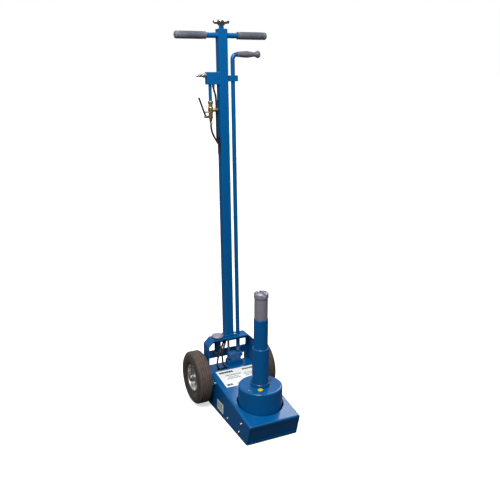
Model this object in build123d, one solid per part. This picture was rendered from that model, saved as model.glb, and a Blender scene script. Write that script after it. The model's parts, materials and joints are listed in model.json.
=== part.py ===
"""Wheeled air hydraulic axle jack with a two stage ram and a long handle.

Frame: millimetres, +Z up, origin on the floor under the ram's axis.  The ram end
faces -Y, the wheels and the handle are at +Y, and +X is on the right of a person
who looks along +Y.
"""
import os
from math import cos, radians, sin, tan

from build123d import *

os.makedirs("parts", exist_ok=True)

# Fits
RUNNING = 0.05          # radial clearance of a shaft that turns or slides in its bore
LOOSE = 0.5             # gap between pieces that pass each other
HOLE_GAP = 0.3          # radial gap round a bolt, axle or pipe that only passes through

# Sloping cover and base plate
chassis_width = 224.0
cover_sheet = 4.0
cover_slope = 8.2       # degrees, rising to the rear
cover_edge_radius = 10.0
nose_radius = 6.0
lip_y = -135.0          # front edge of the cover's top
lip_height = 93.0
lip_drop = 14.0         # height of the down-turned front lip
front_plate_rise = 20.0 # how far the raked plate is drawn above the lip before it is cut
toe_y = -107.5          # front edge at the floor, set back under the lip
bay_y = 258.5           # rear edge of the cover's top, where the control bay begins
rear_y = 335.0
base_thickness = 12.0
flange_lift = 1.0       # the cover's side flanges end just above the floor

# Control bay frame
frame_height = 280.5
frame_sheet = 5.0
frame_depth = 55.0
frame_chamfer = 25.0
frame_corner_radius = 8.0
panel_sheet = 4.0
slot_width = 186.0
slot_height = 32.0
upper_slot_z = 228.0
lower_slot_z = 160.0
slot_radius = 4.0
rod_opening_gap = 1.0   # radial gap where the control rod passes through the frame
floor_z = 143.5         # top of the bay's floor
floor_sheet = 4.0
hose_opening_x = (-68.0, -13.0)
hose_opening_y = (264.0, 286.0)
hose_opening_corner = 6.0

# Ram
drum_radius = 89.0
drum_top_z = 189.5
drum_wall = 5.0
drum_roof = 12.0
drum_edge_radius = 7.0
drum_hole_gap = 5.5     # between the drum and the cover
foot_height = 20.0
gland_stand = 16.0      # collar height above the drum
gland_depth = 16.0
gland_bevel = 1.5
wiper_wall = 4.0
wiper_stand = 0.5
collar_wall = 6.8       # from stage 1 out to the collar's side
wiper_height = 4.0
ring_height = 12.0      # piston rings at the lower ends of both stages
stage_2_radius = 28.3
stage_2_ring_step = 2.2
stage_1_wall = 3.7
stage_1_ring_step = 4.3
barrel_wall = 7.5
stage_1_length = 189.0
stage_1_top = 350.5
stage_1_lip = 20.0      # guide lip at the top of stage 1
stage_bevel = 1.2
stage_2_length = 191.0
stage_2_top = 472.0
socket_radius = 14.05
socket_depth = 70.0
saddle_radius = 26.5
saddle_head_radius = 29.0
saddle_height = 109.0
saddle_head_height = 20.0
saddle_flare = 3.0      # height of the cone between the neck and the head
saddle_bevel = 2.0
groove_width = 11.0
groove_depth = 10.0
spigot_length = 62.0

# Small fittings on the drum
plug_angle = 243.43     # degrees round the drum from +X
plug_reach = 14.9       # from the collar to the plug's centre
plug_radius = 10.5
plug_height = 5.0
plug_slot_width = 2.4
plug_slot_depth = 2.5
plug_thread_radius = 8.5
washer_radius = 13.0
washer_thickness = 1.0
bleed_angle = 208.91
bleed_inset = 12.46     # from the drum's side to the screw's centre
bleed_radius = 4.5
bleed_thread_radius = 3.0
bleed_height = 4.0      # of its hexagon, and of the tip above it

# Wheels
wheel_diameter = 228.0
wheel_lift = 1.0        # the tyres hang just above the floor while the base stands on it
tyre_width = 66.0
tyre_groove = 2.5       # depth of each groove round the tread
tyre_grooves = 4
tyre_shoulder = 12.0    # width of each rounded shoulder
tyre_bulge = 34.0       # from the tread down to the tyre's widest place
rim_width = 44.0
rim_wall = 2.5
rim_flange = 3.0        # radial height of the flange that holds the tyre
rim_dish = 13.0         # from the rim's outside in to the bottom of its dish
rim_crown = 25.0        # from the rim's outside in to the crown round the hub
axle_radius = 9.5
axle_y = 307.5
wheel_gap = 6.0         # from the cover's side to the wheel's hub
hub_length = 54.0
hub_radius = 17.0
bush_radius = 13.0
axle_washer_wall = 8.0
axle_washer_thickness = 3.0
axle_block_size = (22.0, 40.0, 40.0)
axle_block_drop = 22.0  # from the axle down to the block's lower face
nut_height = 10.0
nut_flats = 30.0
nut_collar = 3.0        # height and wall of the nut's round collar

# Handle: places along it are measured down from the post's top
handle_lean = 2.33      # degrees, leaning to the rear
post_y = 313.5
post_size = 38.0
post_wall = 3.0
post_corner_radius = 4.0
post_length = 1275.0
post_below = 20.0       # how far the post is drawn below the frame's top before it is cut
flange_thickness = 5.0
flange_right = 36.0
flange_margin = (4.0, 2.0)
flange_corner = 4.0
cap_thickness = 2.0
cap_plug = 8.0
tee_below = 22.0
tee_length = 384.0
tee_radius = 10.6
tee_wall = 2.6
tee_spindle_gap = 1.5
grip_radius = 15.0
grip_length = 128.0
grip_end = 4.0
grip_round = (2.0, 6.0) # edge radii at the grip's inner and outer ends
spindle_radius = 5.0
stub_radius = 10.0
stub_height = 12.0
handwheel_radius = 35.0
handwheel_lobes = 6
handwheel_thickness = 15.0
handwheel_notch = 12.0  # radius of each notch between two lobes
handwheel_notch_offset = 5.0
handwheel_edge = 4.0
handwheel_hub_radius = 15.0
handwheel_hub_height = 8.0
spindle_cover = 4.0     # metal left above the spindle in the handwheel

# Control rod with its crank
rod_offset = 46.0
rod_radius = 8.6
rod_bend_radius = 20.0
crank_below = 93.0
crank_grip_start = 66.0
crank_grip_length = 100.0
crank_spigot_radius = 6.0
crank_grip_end = 8.0    # rubber beyond the end of the spigot
coupling_radius = 11.0
coupling_length = 15.0
coupling_gap = 3.0      # from the valve block to the coupling
guide_below = 186.0
guide_thickness = 24.0
guide_depth = 22.0
guide_overhang = 8.0    # beyond the coupling's radius
guide_corner = 3.0

# Air controls on the left of the handle
manifold_below = 185.0
manifold_size = (52.0, 24.0, 48.0)
manifold_corner = 3.0
nipple_height = 11.0    # above the manifold's middle
nipple_bore = 2.5
nipple_length = 41.0
nipple_radius = 5.9
drop_tube_x = -54.5
drop_tube_radius = 6.8
valve_top_below = 273.0
valve_length = 80.0
valve_radius = 8.5
port_below = 307.0
port_radius = 6.0
port_reach = 6.0        # gap between the side port's end and the post
lever_pivot_x = -76.0
lever_pivot_below = 334.0
lever_reach = 81.0
lever_angle = 20.0      # degrees from the handle's line when released
lever_width = 6.0
lever_half_thickness = 2.8
lever_boss_radius = 5.0
lever_pin_radius = 2.0
ear_thickness = 2.5
plunger_radius = 3.0
plunger_rise = 19.0     # above the lever's pivot
plunger_gap = 0.4       # between the plunger and the released lever

# Pump and valves
block_x = (-8.0, 56.0)
block_y = (284.0, 328.0)
block_top = 200.0
block_waist = 9.0       # how far each side of the block is drawn in at its waist
bore_depth = 30.0
pump_x = 30.0
pump_y = (105.0, 150.0)
pump_top = 92.0
pump_wall = 6.0         # between the pump's bore and its front face
motor_z = 56.0
motor_radius = 40.0
motor_wall = 5.0
motor_cap_y = (264.0, 280.0)
motor_cap_margin = 2.0
motor_cap_corner = 6.0
silencer_radius = 6.5
silencer_length = 34.0
silencer_round = 2.0
piston_gap = 0.1
piston_thickness = 10.0
piston_clearance = 2.0  # from the piston's face to the cap
plunger_bar_radius = 7.0
piston_travel = 25.0
pipe_radius = 4.0
pipe_bend = 20.0
pipe_level = 40.0
pipe_offset = 30.0      # from the pump's side to the pipe's outer run

# Stored adapter
adapter_x = -53.0
adapter_y = 309.0
adapter_cap_radius = 27.0
adapter_cap_height = 15.5
adapter_stem_radius = 14.0
adapter_stem_length = 64.0
adapter_bevel = 1.5

# Hoses
hose_radius = 4.0
ferrule_radius = 5.8
ferrule_length = 12.0
hose_slot_below = 452.0
hose_slot_length = 70.0
hose_slot_y = (-9.0, 15.0)
hose_slot_corner = 6.0
grommet_margin = 1.8
grommet_thickness = 1.2

# Fasteners: places on each side of the cover as (y, z)
bolt_radius = 4.0
bolt_head_radius = 6.5
bolt_head_height = 4.5
bolt_socket = (5.0, 2.5)
bolt_nut_flats = 13.0
bolt_nut_height = 6.5
bolt_end = 1.5          # thread beyond the nut
side_bolts = [(201.0, 123.5), (73.5, 24.0), (-58.0, 69.0), (-37.0, 22.0)]
flange_bolt_x = 28.0
flange_bolt_spacing = 18.0

# Labels
label_thickness = 0.4
data_label_size = (178.0, 120.0)
data_label_y = 190.0
side_label_y = (116.0, 179.0)
side_label_z = (20.0, 63.0)

# Worked out
half_width = chassis_width / 2
inner_half = half_width - cover_sheet
frame_inner = inner_half - frame_sheet
slope = tan(radians(cover_slope))
sheet_drop = cover_sheet / cos(radians(cover_slope))
front_run = (toe_y - lip_y) / lip_height
stage_1_bore = stage_2_radius + stage_2_ring_step
stage_1_radius = stage_1_bore + stage_1_wall
barrel_bore = stage_1_radius + stage_1_ring_step
barrel_radius = barrel_bore + barrel_wall
collar_radius = stage_1_radius + collar_wall
plug_centre = collar_radius + plug_reach
plug_x = plug_centre * cos(radians(plug_angle))
plug_y = plug_centre * sin(radians(plug_angle))
bleed_centre = drum_radius - bleed_inset
bleed_x = bleed_centre * cos(radians(bleed_angle))
bleed_y = bleed_centre * sin(radians(bleed_angle))
foot_top = base_thickness + foot_height
barrel_top = drum_top_z - gland_depth
gland_top = drum_top_z + gland_stand
stage_1_bottom = stage_1_top - stage_1_length
stage_2_bottom = stage_2_top - stage_2_length
saddle_top = stage_2_top + saddle_height
rim_radius = wheel_diameter / 4
rim_dish_radius = rim_radius - rim_dish
rim_crown_radius = rim_radius - rim_crown
axle_z = wheel_diameter / 2 + wheel_lift
hub_inner_x = half_width + wheel_gap
wheel_x = hub_inner_x + tyre_width / 2
hub_outer_x = hub_inner_x + hub_length
rod_bottom = block_top - frame_height - bore_depth + LOOSE
tee_height = post_length - tee_below
crank_height = post_length - crank_below
guide_height = post_length - guide_below
valve_top = post_length - valve_top_below
valve_bottom = valve_top - valve_length
port_height = post_length - port_below
lever_pivot_height = post_length - lever_pivot_below
hose_slot_height = post_length - hose_slot_below
manifold_height = post_length - manifold_below
manifold_right = -post_size / 2
manifold_left = manifold_right - manifold_size[0]
manifold_base = manifold_height - manifold_size[2] / 2


def cover_z(y):
    """Height of the cover's top surface at y."""
    return lip_height + (y - lip_y) * slope


def front_y(z):
    """Place of the raked front plane at height z."""
    return toe_y - z * front_run


def block(x0, x1, y0, y1, z0, z1):
    """A box between two corners."""
    middle = Pos((x0 + x1) / 2, (y0 + y1) / 2, (z0 + z1) / 2)
    return middle * Box(x1 - x0, y1 - y0, z1 - z0)


def rod_up(radius, z0, z1, x=0.0, y=0.0):
    """A round bar along Z."""
    return Pos(x, y, (z0 + z1) / 2) * Cylinder(radius, z1 - z0)


def rod_across(radius, x0, x1, y=0.0, z=0.0):
    """A round bar along X."""
    return Pos((x0 + x1) / 2, y, z) * Rot(0, 90, 0) * Cylinder(radius, x1 - x0)


def rod_along(radius, y0, y1, x=0.0, z=0.0):
    """A round bar along Y."""
    return Pos(x, (y0 + y1) / 2, z) * Rot(90, 0, 0) * Cylinder(radius, y1 - y0)


def turned(points):
    """A solid of revolution about Z from (radius, z) points."""
    return revolve(Plane.XZ * make_face(Polyline(*points, close=True)), Axis.Z)


def hexagon_up(across_flats, z0, z1, x=0.0, y=0.0):
    """A hexagonal bar along Z."""
    outline = RegularPolygon(across_flats / 2, 6, major_radius=False)
    return Pos(x, y, z0) * extrude(outline, z1 - z0)


def side_profile(points, half):
    """A solid with a (y, z) outline that runs from -half to +half in X."""
    return extrude(Plane.YZ * make_face(Polyline(*points, close=True)), half, both=True)


def on_handle(shape):
    """Put a piece drawn upright on the frame's top into the leaning handle."""
    return Pos(0, post_y, frame_height) * Rot(-handle_lean, 0, 0) * shape


def leaning(x, y, h):
    """The place in the jack's frame of a point given in the handle's frame."""
    turn = radians(handle_lean)
    return Vector(x, post_y + y * cos(turn) + h * sin(turn), frame_height - y * sin(turn) + h * cos(turn))


def group(pieces):
    """Separate solids that share one node."""
    return Compound(children=pieces)


# Chassis


def cover_outside():
    """The cover's outer shape, sloping up to the bay and rounded along its long edges."""
    rear_top = cover_z(bay_y)
    outline = [
        (front_y(flange_lift), flange_lift),
        (lip_y, lip_height),
        (bay_y, rear_top),
        (rear_y, rear_top),
        (rear_y, flange_lift),
    ]
    body = side_profile(outline, half_width)
    sloping = body.edges().filter_by(Axis.X, reverse=True)
    sloping = [e for e in sloping if abs(e.center().Z - (lip_height + rear_top) / 2) < 1.0]
    body = fillet([e for e in sloping if e.length > 100], cover_edge_radius)
    nose = [e for e in body.edges().filter_by(Axis.X) if abs(e.center().Y - lip_y) < 1.0]
    return fillet(nose, nose_radius)


def cover_inside():
    """The space under the cover, open at the bottom and the rear."""
    front_low = front_y(-LOOSE) + cover_sheet
    top_front = lip_y + cover_sheet
    outline = [
        (front_low, -LOOSE),
        (top_front, cover_z(top_front) - sheet_drop),
        (rear_y + LOOSE, cover_z(rear_y + LOOSE) - sheet_drop),
        (rear_y + LOOSE, -LOOSE),
    ]
    space = side_profile(outline, inner_half)
    top = [e for e in space.edges() if e.length > 100 and e.center().Z > lip_height]
    top = [e for e in top if abs(abs(e.center().X) - inner_half) < 0.1]
    return fillet(top, cover_edge_radius - cover_sheet)


def chassis_cover():
    """The folded sheet cover, open in front below its lip and at the bay, with the drum's hole."""
    window_top = lip_height - lip_drop
    window = side_profile(
        [
            (front_y(-LOOSE) - LOOSE, -LOOSE),
            (front_y(window_top) - LOOSE, window_top),
            (front_y(window_top) + cover_sheet + LOOSE, window_top),
            (front_y(-LOOSE) + cover_sheet + LOOSE, -LOOSE),
        ],
        inner_half,
    )
    bay = block(-inner_half, inner_half, bay_y, rear_y + LOOSE, 0, cover_z(rear_y) + LOOSE)
    hole = rod_up(drum_radius + drum_hole_gap, lip_height / 2, cover_z(bay_y))
    axle = rod_across(axle_radius + HOLE_GAP, -half_width - 1, half_width + 1, axle_y, axle_z)
    cover = cover_outside() - cover_inside() - window - bay - hole - axle
    for y, z in side_bolts:
        cover -= rod_across(bolt_radius + HOLE_GAP, -half_width - 1, half_width + 1, y, z)
    return cover


def base_plate():
    """The thick plate that everything stands on."""
    outline = [
        (front_y(0), 0),
        (front_y(base_thickness), base_thickness),
        (rear_y, base_thickness),
        (rear_y, 0),
    ]
    return side_profile(outline, inner_half)


def front_plate():
    """The raked plate behind the lip, cut to the space under the cover."""
    high = lip_height + front_plate_rise
    slab = side_profile(
        [
            (front_y(base_thickness) + cover_sheet, base_thickness),
            (front_y(high) + cover_sheet, high),
            (front_y(high) + cover_sheet + cover_sheet, high),
            (front_y(base_thickness) + cover_sheet + cover_sheet, base_thickness),
        ],
        half_width,
    )
    return slab & cover_inside()


def band_outline(inset):
    """The frame's upright outline, drawn inset from its outer face."""
    half = inner_half - inset
    top = frame_height - inset
    leg = frame_chamfer - inset * (2 - 2 ** 0.5)
    points = [
        (-half, base_thickness),
        (-half, top - leg),
        (-half + leg, top),
        (half - leg, top),
        (half, top - leg),
        (half, base_thickness),
    ]
    face = Plane.XZ * make_face(Polyline(*points, close=True))
    corners = [v for v in face.vertices() if v.Z > base_thickness + 1]
    return fillet(corners, frame_corner_radius - inset)


def rear_frame():
    """The upright band round the control bay."""
    outside = Pos(0, rear_y, 0) * extrude(band_outline(0), frame_depth)
    inside = Pos(0, rear_y + 1, 0) * extrude(band_outline(frame_sheet), frame_depth + 2)
    frame = outside - inside
    frame -= rod_across(axle_radius + HOLE_GAP, -half_width, half_width, axle_y, axle_z)
    frame -= rod_up(adapter_stem_radius + LOOSE, frame_height - 10, frame_height + 1, adapter_x, adapter_y)
    frame -= on_handle(rod_up(rod_radius + rod_opening_gap, -20, 20, rod_offset))
    opening = post_size - 2 * post_wall
    frame -= on_handle(block(-opening / 2, opening / 2, -opening / 2, opening / 2, -20, 20))
    for x, y in flange_bolt_places():
        frame -= rod_up(bolt_radius + HOLE_GAP, frame_height - 10, frame_height + 1, x, y)
    return frame


def rear_panel():
    """The slotted panel and the bay's floor, folded from one sheet."""
    shape = band_outline(frame_sheet)
    panel = Pos(0, rear_y, 0) * extrude(shape, panel_sheet)
    for z in (upper_slot_z, lower_slot_z):
        slot = extrude(Plane.XZ * RectangleRounded(slot_width, slot_height, slot_radius), 20, both=True)
        panel -= Pos(0, rear_y, z) * slot
    panel_front = rear_y - panel_sheet
    floor = block(-frame_inner, frame_inner, bay_y + LOOSE, panel_front, floor_z - floor_sheet, floor_z)
    floor -= rod_up(pipe_radius + HOLE_GAP, floor_z - 10, floor_z + 1, pipe_rise_x(), pipe_rise_y())
    opening = block(*hose_opening_x, *hose_opening_y, floor_z - 10, floor_z + 1)
    floor -= fillet(opening.edges().filter_by(Axis.Z), hose_opening_corner)
    return panel + floor


def flange_bolt_places():
    half = flange_bolt_spacing / 2
    return [(flange_bolt_x, post_y - half), (flange_bolt_x, post_y + half)]


def pipe_rise_x():
    return (block_x[0] + block_x[1]) / 2


def pipe_rise_y():
    return block_y[0] + pipe_radius + 2


def side_bolt(y, z, side):
    """A button head screw with its nut inside the flange."""
    head = rod_across(bolt_head_radius, half_width, half_width + bolt_head_height, y, z)
    rim = [e for e in head.edges() if e.center().X > half_width + bolt_head_height / 2]
    head = fillet(rim, bolt_head_height * 0.6)
    flats, depth = bolt_socket
    head -= Pos(half_width + bolt_head_height, y, z) * Rot(0, 90, 0) * hexagon_up(flats, -depth, 1.0)
    shank = rod_across(bolt_radius, inner_half - bolt_nut_height - bolt_end, half_width, y, z)
    nut = hexagon_up(bolt_nut_flats, 0, bolt_nut_height)
    nut = Pos(inner_half - bolt_nut_height, y, z) * Rot(0, 90, 0) * nut
    screw = head + shank + nut
    return screw if side > 0 else mirror(screw, Plane.YZ)


def flange_bolt(x, y):
    """The same screw and nut, upright through the post's flange."""
    top = frame_height + flange_thickness
    head = rod_up(bolt_head_radius, top, top + bolt_head_height, x, y)
    rim = [e for e in head.edges() if e.center().Z > top + bolt_head_height / 2]
    head = fillet(rim, bolt_head_height * 0.6)
    flats, depth = bolt_socket
    head -= Pos(0, 0, top + bolt_head_height) * hexagon_up(flats, -depth, 1.0, x, y)
    under = frame_height - frame_sheet
    shank = rod_up(bolt_radius, under - bolt_nut_height - bolt_end, top, x, y)
    nut = hexagon_up(bolt_nut_flats, under - bolt_nut_height, under, x, y)
    return head + shank + nut


def frame_bolts():
    bolts = [side_bolt(y, z, side) for side in (-1, 1) for y, z in side_bolts]
    return group(bolts + [flange_bolt(x, y) for x, y in flange_bolt_places()])


def labels():
    """A data label on the slope and a small one on the left side."""
    data = Pos(0, 0, label_thickness / 2) * Box(*data_label_size, label_thickness)
    data = Pos(0, data_label_y, cover_z(data_label_y)) * Rot(cover_slope, 0, 0) * data
    side = block(-half_width - label_thickness, -half_width, *side_label_y, *side_label_z)
    return group([data, side])


# Ram


def reservoir_drum():
    """The oil reservoir round the cylinder, with a thick roof."""
    outside = rod_up(drum_radius, foot_top, drum_top_z)
    outside = fillet(outside.edges().group_by(Axis.Z)[-1], drum_edge_radius)
    space = rod_up(drum_radius - drum_wall, foot_top - 1, drum_top_z - drum_roof)
    drum = outside - space
    drum -= rod_up(barrel_radius, foot_top, drum_top_z + 1)
    low, high = drum_top_z - drum_roof - 1, drum_top_z + 1
    drum -= rod_up(plug_thread_radius, low, high, plug_x, plug_y)
    return drum - rod_up(bleed_thread_radius, low, high, bleed_x, bleed_y)


def cylinder_foot():
    """The round foot with a boss for the pump behind it."""
    boss = block(-pump_x, pump_x, drum_radius * 0.6, pump_y[0], base_thickness, foot_top)
    return rod_up(drum_radius, base_thickness, foot_top) + boss


def cylinder_barrel():
    return rod_up(barrel_radius, foot_top, barrel_top) - rod_up(barrel_bore, foot_top - 1, barrel_top + 1)


def ram_gland():
    """The screwed collar that guides stage 1."""
    bore = stage_1_radius + RUNNING
    seat = stage_1_radius + wiper_wall
    profile = [
        (bore, barrel_top),
        (barrel_radius, barrel_top),
        (barrel_radius, drum_top_z),
        (collar_radius, drum_top_z),
        (collar_radius, gland_top - gland_bevel),
        (collar_radius - gland_bevel, gland_top),
        (seat, gland_top),
        (seat, gland_top - wiper_height),
        (bore, gland_top - wiper_height),
    ]
    return turned(profile)


def gland_wiper():
    outer = stage_1_radius + wiper_wall
    ring = rod_up(outer, gland_top - wiper_height, gland_top + wiper_stand)
    return ring - rod_up(stage_1_radius + RUNNING, gland_top - wiper_height - 1, gland_top + 1)


def ram_stage_1():
    """The outer telescopic tube with a guide lip at its top."""
    tube = rod_up(stage_1_radius, stage_1_bottom, stage_1_top)
    tube = chamfer(tube.edges().group_by(Axis.Z)[-1], stage_bevel)
    tube -= rod_up(stage_1_bore, stage_1_bottom - 1, stage_1_top - stage_1_lip)
    return tube - rod_up(stage_2_radius + RUNNING, stage_1_bottom, stage_1_top + 1)


def stage_1_seal():
    ring = rod_up(barrel_bore - RUNNING, stage_1_bottom, stage_1_bottom + ring_height)
    return ring - rod_up(stage_1_radius, stage_1_bottom - 1, stage_1_top)


def ram_stage_2():
    """The inner ram, bored at the top for the saddle's spigot."""
    bar = rod_up(stage_2_radius, stage_2_bottom, stage_2_top)
    bar = chamfer(bar.edges().group_by(Axis.Z)[-1], stage_bevel)
    bar += rod_up(stage_1_bore - RUNNING, stage_2_bottom, stage_2_bottom + ring_height)
    return bar - rod_up(socket_radius, stage_2_top - socket_depth, stage_2_top + 1)


def ram_saddle():
    """The swivelling saddle with a cross groove in its head."""
    step = saddle_top - saddle_head_height
    profile = [
        (0, stage_2_top),
        (saddle_radius, stage_2_top),
        (saddle_radius, step - saddle_flare),
        (saddle_head_radius, step),
        (saddle_head_radius, saddle_top - saddle_bevel),
        (saddle_head_radius - saddle_bevel, saddle_top),
        (0, saddle_top),
    ]
    saddle = turned(profile)
    saddle += rod_up(socket_radius - RUNNING, stage_2_top - spigot_length, stage_2_top)
    reach = saddle_head_radius + 1
    half = groove_width / 2
    base = saddle_top - groove_depth
    saddle -= block(-reach, reach, -half, half, base, saddle_top + 1)
    return saddle - block(-half, half, -reach, reach, base, saddle_top + 1)


def filler_plug():
    """The slotted screw plug of the oil filler."""
    seat = drum_top_z + washer_thickness
    top = seat + plug_height
    head = rod_up(plug_radius, seat, top, plug_x, plug_y)
    head = fillet(head.edges().group_by(Axis.Z)[-1], 1.0)
    slot = Box(2 * plug_radius, plug_slot_width, 2 * plug_slot_depth)
    head -= Pos(plug_x, plug_y, top) * slot
    return head + rod_up(plug_thread_radius, drum_top_z - drum_roof, seat, plug_x, plug_y)


def filler_washer():
    top = drum_top_z + washer_thickness
    ring = rod_up(washer_radius, drum_top_z, top, plug_x, plug_y)
    return ring - rod_up(plug_thread_radius, drum_top_z - 1, top + 1, plug_x, plug_y)


def bleed_screw():
    """A small screw that lets air out of the reservoir."""
    top = drum_top_z + bleed_height
    screw = rod_up(bleed_thread_radius, drum_top_z - drum_roof, drum_top_z, bleed_x, bleed_y)
    screw += hexagon_up(2 * bleed_radius, drum_top_z, top, bleed_x, bleed_y)
    return screw + rod_up(bleed_radius / 2, top, top + bleed_height, bleed_x, bleed_y)


# Pump and valves


def valve_block():
    """The hourglass block in the bay that both control rods reach into."""
    x0, x1 = block_x
    points = [
        (x0, floor_z),
        (x0, floor_z + 16),
        (x0 + block_waist, floor_z + 27),
        (x0 + block_waist, floor_z + 33),
        (x0, floor_z + 42),
        (x0, block_top),
        (x1, block_top),
        (x1, floor_z + 44),
        (x1 - block_waist, floor_z + 35),
        (x1 - block_waist, floor_z + 31),
        (x1, floor_z + 18),
        (x1, floor_z),
    ]
    face = Plane.XZ * make_face(Polyline(*points, close=True))
    body = Pos(0, block_y[1], 0) * extrude(face, block_y[1] - block_y[0])
    low = block_top - frame_height - bore_depth
    high = block_top - frame_height + 20
    body -= on_handle(rod_up(spindle_radius + RUNNING, low, high))
    body -= on_handle(rod_up(crank_spigot_radius + RUNNING, low, high, rod_offset))
    return body


def pump_body():
    """The pump's block, bored for the plunger."""
    body = block(-pump_x, pump_x, pump_y[0], pump_y[1], base_thickness, pump_top)
    bore_end = pump_y[0] + pump_wall
    return body - rod_along(plunger_bar_radius + RUNNING, bore_end, pump_y[1] + 1, 0, motor_z)


def air_motor_body():
    tube = rod_along(motor_radius, pump_y[1], motor_cap_y[0], 0, motor_z)
    return tube - rod_along(motor_radius - motor_wall, pump_y[1] - 1, motor_cap_y[0] + 1, 0, motor_z)


def air_motor_cap():
    half = motor_radius + motor_cap_margin
    cap = block(-half, half, motor_cap_y[0], motor_cap_y[1], motor_z - half, motor_z + half)
    return fillet(cap.edges().filter_by(Axis.Y), motor_cap_corner)


def air_piston():
    """The motor's piston with the pump plunger on its front."""
    face_y = motor_cap_y[0] - piston_clearance
    disc = rod_along(motor_radius - motor_wall - piston_gap, face_y - piston_thickness, face_y, 0, motor_z)
    tip = pump_y[0] + pump_wall + piston_travel + 3.0
    return disc + rod_along(plunger_bar_radius, tip, face_y - piston_thickness / 2, 0, motor_z)


def air_silencer():
    y = (motor_cap_y[0] + motor_cap_y[1]) / 2
    start = motor_radius + motor_cap_margin
    body = rod_across(silencer_radius, start, start + silencer_length, y, motor_z)
    return fillet(body.faces().sort_by(Axis.X)[-1].edges(), silencer_round)


def pressure_pipe():
    """The oil pipe from the pump's side, along the chassis and up to the valve block."""
    y0 = (pump_y[0] + pump_y[1]) / 2
    z0 = pipe_level
    outer_x = -pump_x - pipe_offset
    points = [
        (-pump_x, y0, z0),
        (outer_x, y0, z0),
        (outer_x, pipe_rise_y(), z0),
        (pipe_rise_x(), pipe_rise_y(), z0),
        (pipe_rise_x(), pipe_rise_y(), floor_z),
    ]
    path = FilletPolyline(*points, radius=pipe_bend)
    start = Plane(origin=points[0], z_dir=(-1, 0, 0))
    return sweep(start * Circle(pipe_radius), path=path)


# Wheels


def axle():
    end = hub_outer_x + axle_washer_thickness + nut_height - 1.0
    return rod_across(axle_radius, -end, end, axle_y, axle_z)


def axle_blocks():
    """Welded blocks that carry the axle inside the frame's two uprights."""
    width, depth, height = axle_block_size
    low = axle_z - axle_block_drop
    blocks = []
    for side in (-1, 1):
        x0, x1 = sorted((side * (frame_inner - width), side * frame_inner))
        piece = block(x0, x1, axle_y - depth / 2, axle_y + depth / 2, low, low + height)
        blocks.append(piece - rod_across(axle_radius, x0 - 1, x1 + 1, axle_y, axle_z))
    return group(blocks)


def axle_washers():
    """A spacer inside and a washer outside each wheel's hub."""
    inner = (half_width, hub_inner_x - LOOSE)
    outer = (hub_outer_x + LOOSE, hub_outer_x + axle_washer_thickness)
    rings = []
    for side in (-1, 1):
        for near, far in (inner, outer):
            x0, x1 = sorted((side * near, side * far))
            ring = rod_across(axle_radius + axle_washer_wall, x0, x1, axle_y, axle_z)
            rings.append(ring - rod_across(axle_radius, x0 - 1, x1 + 1, axle_y, axle_z))
    return group(rings)


def axle_nuts():
    """Hexagonal lock nuts with a rounded collar on the axle's ends."""
    x0 = hub_outer_x + axle_washer_thickness
    body = nut_height - nut_collar
    nuts = []
    for side in (-1, 1):
        nut = Pos(x0, axle_y, axle_z) * Rot(0, 90, 0) * hexagon_up(nut_flats, 0, body)
        nut += rod_across(axle_radius + nut_collar, x0 + body, x0 + nut_height, axle_y, axle_z)
        nut -= rod_across(axle_radius, x0 - 1, x0 + nut_height - 1.0, axle_y, axle_z)
        nuts.append(nut if side > 0 else mirror(nut, Plane.YZ))
    return group(nuts)


def place_wheel(shape, side):
    """Move a piece turned about Z, outer side up, to one end of the axle."""
    placed = Pos(wheel_x, axle_y, axle_z) * Rot(0, 90, 0) * shape
    return placed if side > 0 else mirror(placed, Plane.YZ)


def tyre(side):
    """A tyre with square shoulders and grooves round its tread."""
    outer = wheel_diameter / 2
    half = tyre_width / 2
    seat = rim_width / 2 - rim_flange
    points = [
        (rim_radius, -seat),
        (rim_radius + rim_flange, -rim_width / 2),
        (rim_radius + 12.0, -half + 6.0),
        (outer - tyre_bulge, -half),
        (outer - 16.0, -half + 1.0),
        (outer - 4.0, -half + 10.0),
    ]
    pitch = (tyre_width - 2 * tyre_shoulder) / tyre_grooves
    for number in range(tyre_grooves):
        z = -half + tyre_shoulder + pitch * (number + 0.5)
        points += [(outer, z - 4.0), (outer, z - 1.2), (outer - tyre_groove, z - 1.0)]
        points += [(outer - tyre_groove, z + 1.0), (outer, z + 1.2)]
    points += [
        (outer, half - 13.0),
        (outer - 4.0, half - 10.0),
        (outer - 16.0, half - 1.0),
        (outer - tyre_bulge, half),
        (rim_radius + 12.0, half - 6.0),
        (rim_radius + rim_flange, rim_width / 2),
        (rim_radius, seat),
    ]
    return place_wheel(turned(points), side)


def rim(side):
    """A pressed steel rim with a dished disc and a welded hub tube."""
    half = rim_width / 2
    seat = half - rim_flange
    bed = rim_radius - rim_wall
    hub_low = -tyre_width / 2
    hub_high = hub_low + hub_length
    barrel = [
        (bed, -seat),
        (rim_radius, -seat),
        (rim_radius, seat),
        (rim_radius + rim_flange, half),
        (rim_radius + 2.0, half + 1.5),
        (bed, seat + 2.0),
        (bed, 8.0),
        (rim_dish_radius, 5.0),
        (rim_crown_radius, 12.0),
        (hub_radius, 14.0),
        (hub_radius, hub_high),
        (bush_radius, hub_high),
        (bush_radius, hub_low),
        (hub_radius, hub_low),
        (hub_radius, 11.0),
        (rim_crown_radius - 1.0, 9.0),
        (rim_dish_radius, 1.5),
        (bed, 4.5),
    ]
    return place_wheel(turned(barrel), side)


def hub_bush(side):
    low = -tyre_width / 2
    tube = rod_up(bush_radius, low, low + hub_length)
    tube -= rod_up(axle_radius + RUNNING, low - 1, low + hub_length + 1)
    return place_wheel(tube, side)


# Handle


def square_tube(size, wall, z0, z1):
    outside = RectangleRounded(size, size, post_corner_radius)
    inside = RectangleRounded(size - 2 * wall, size - 2 * wall, max(post_corner_radius - wall, 0.5))
    return Pos(0, 0, z0) * extrude(outside - inside, z1 - z0)


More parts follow.
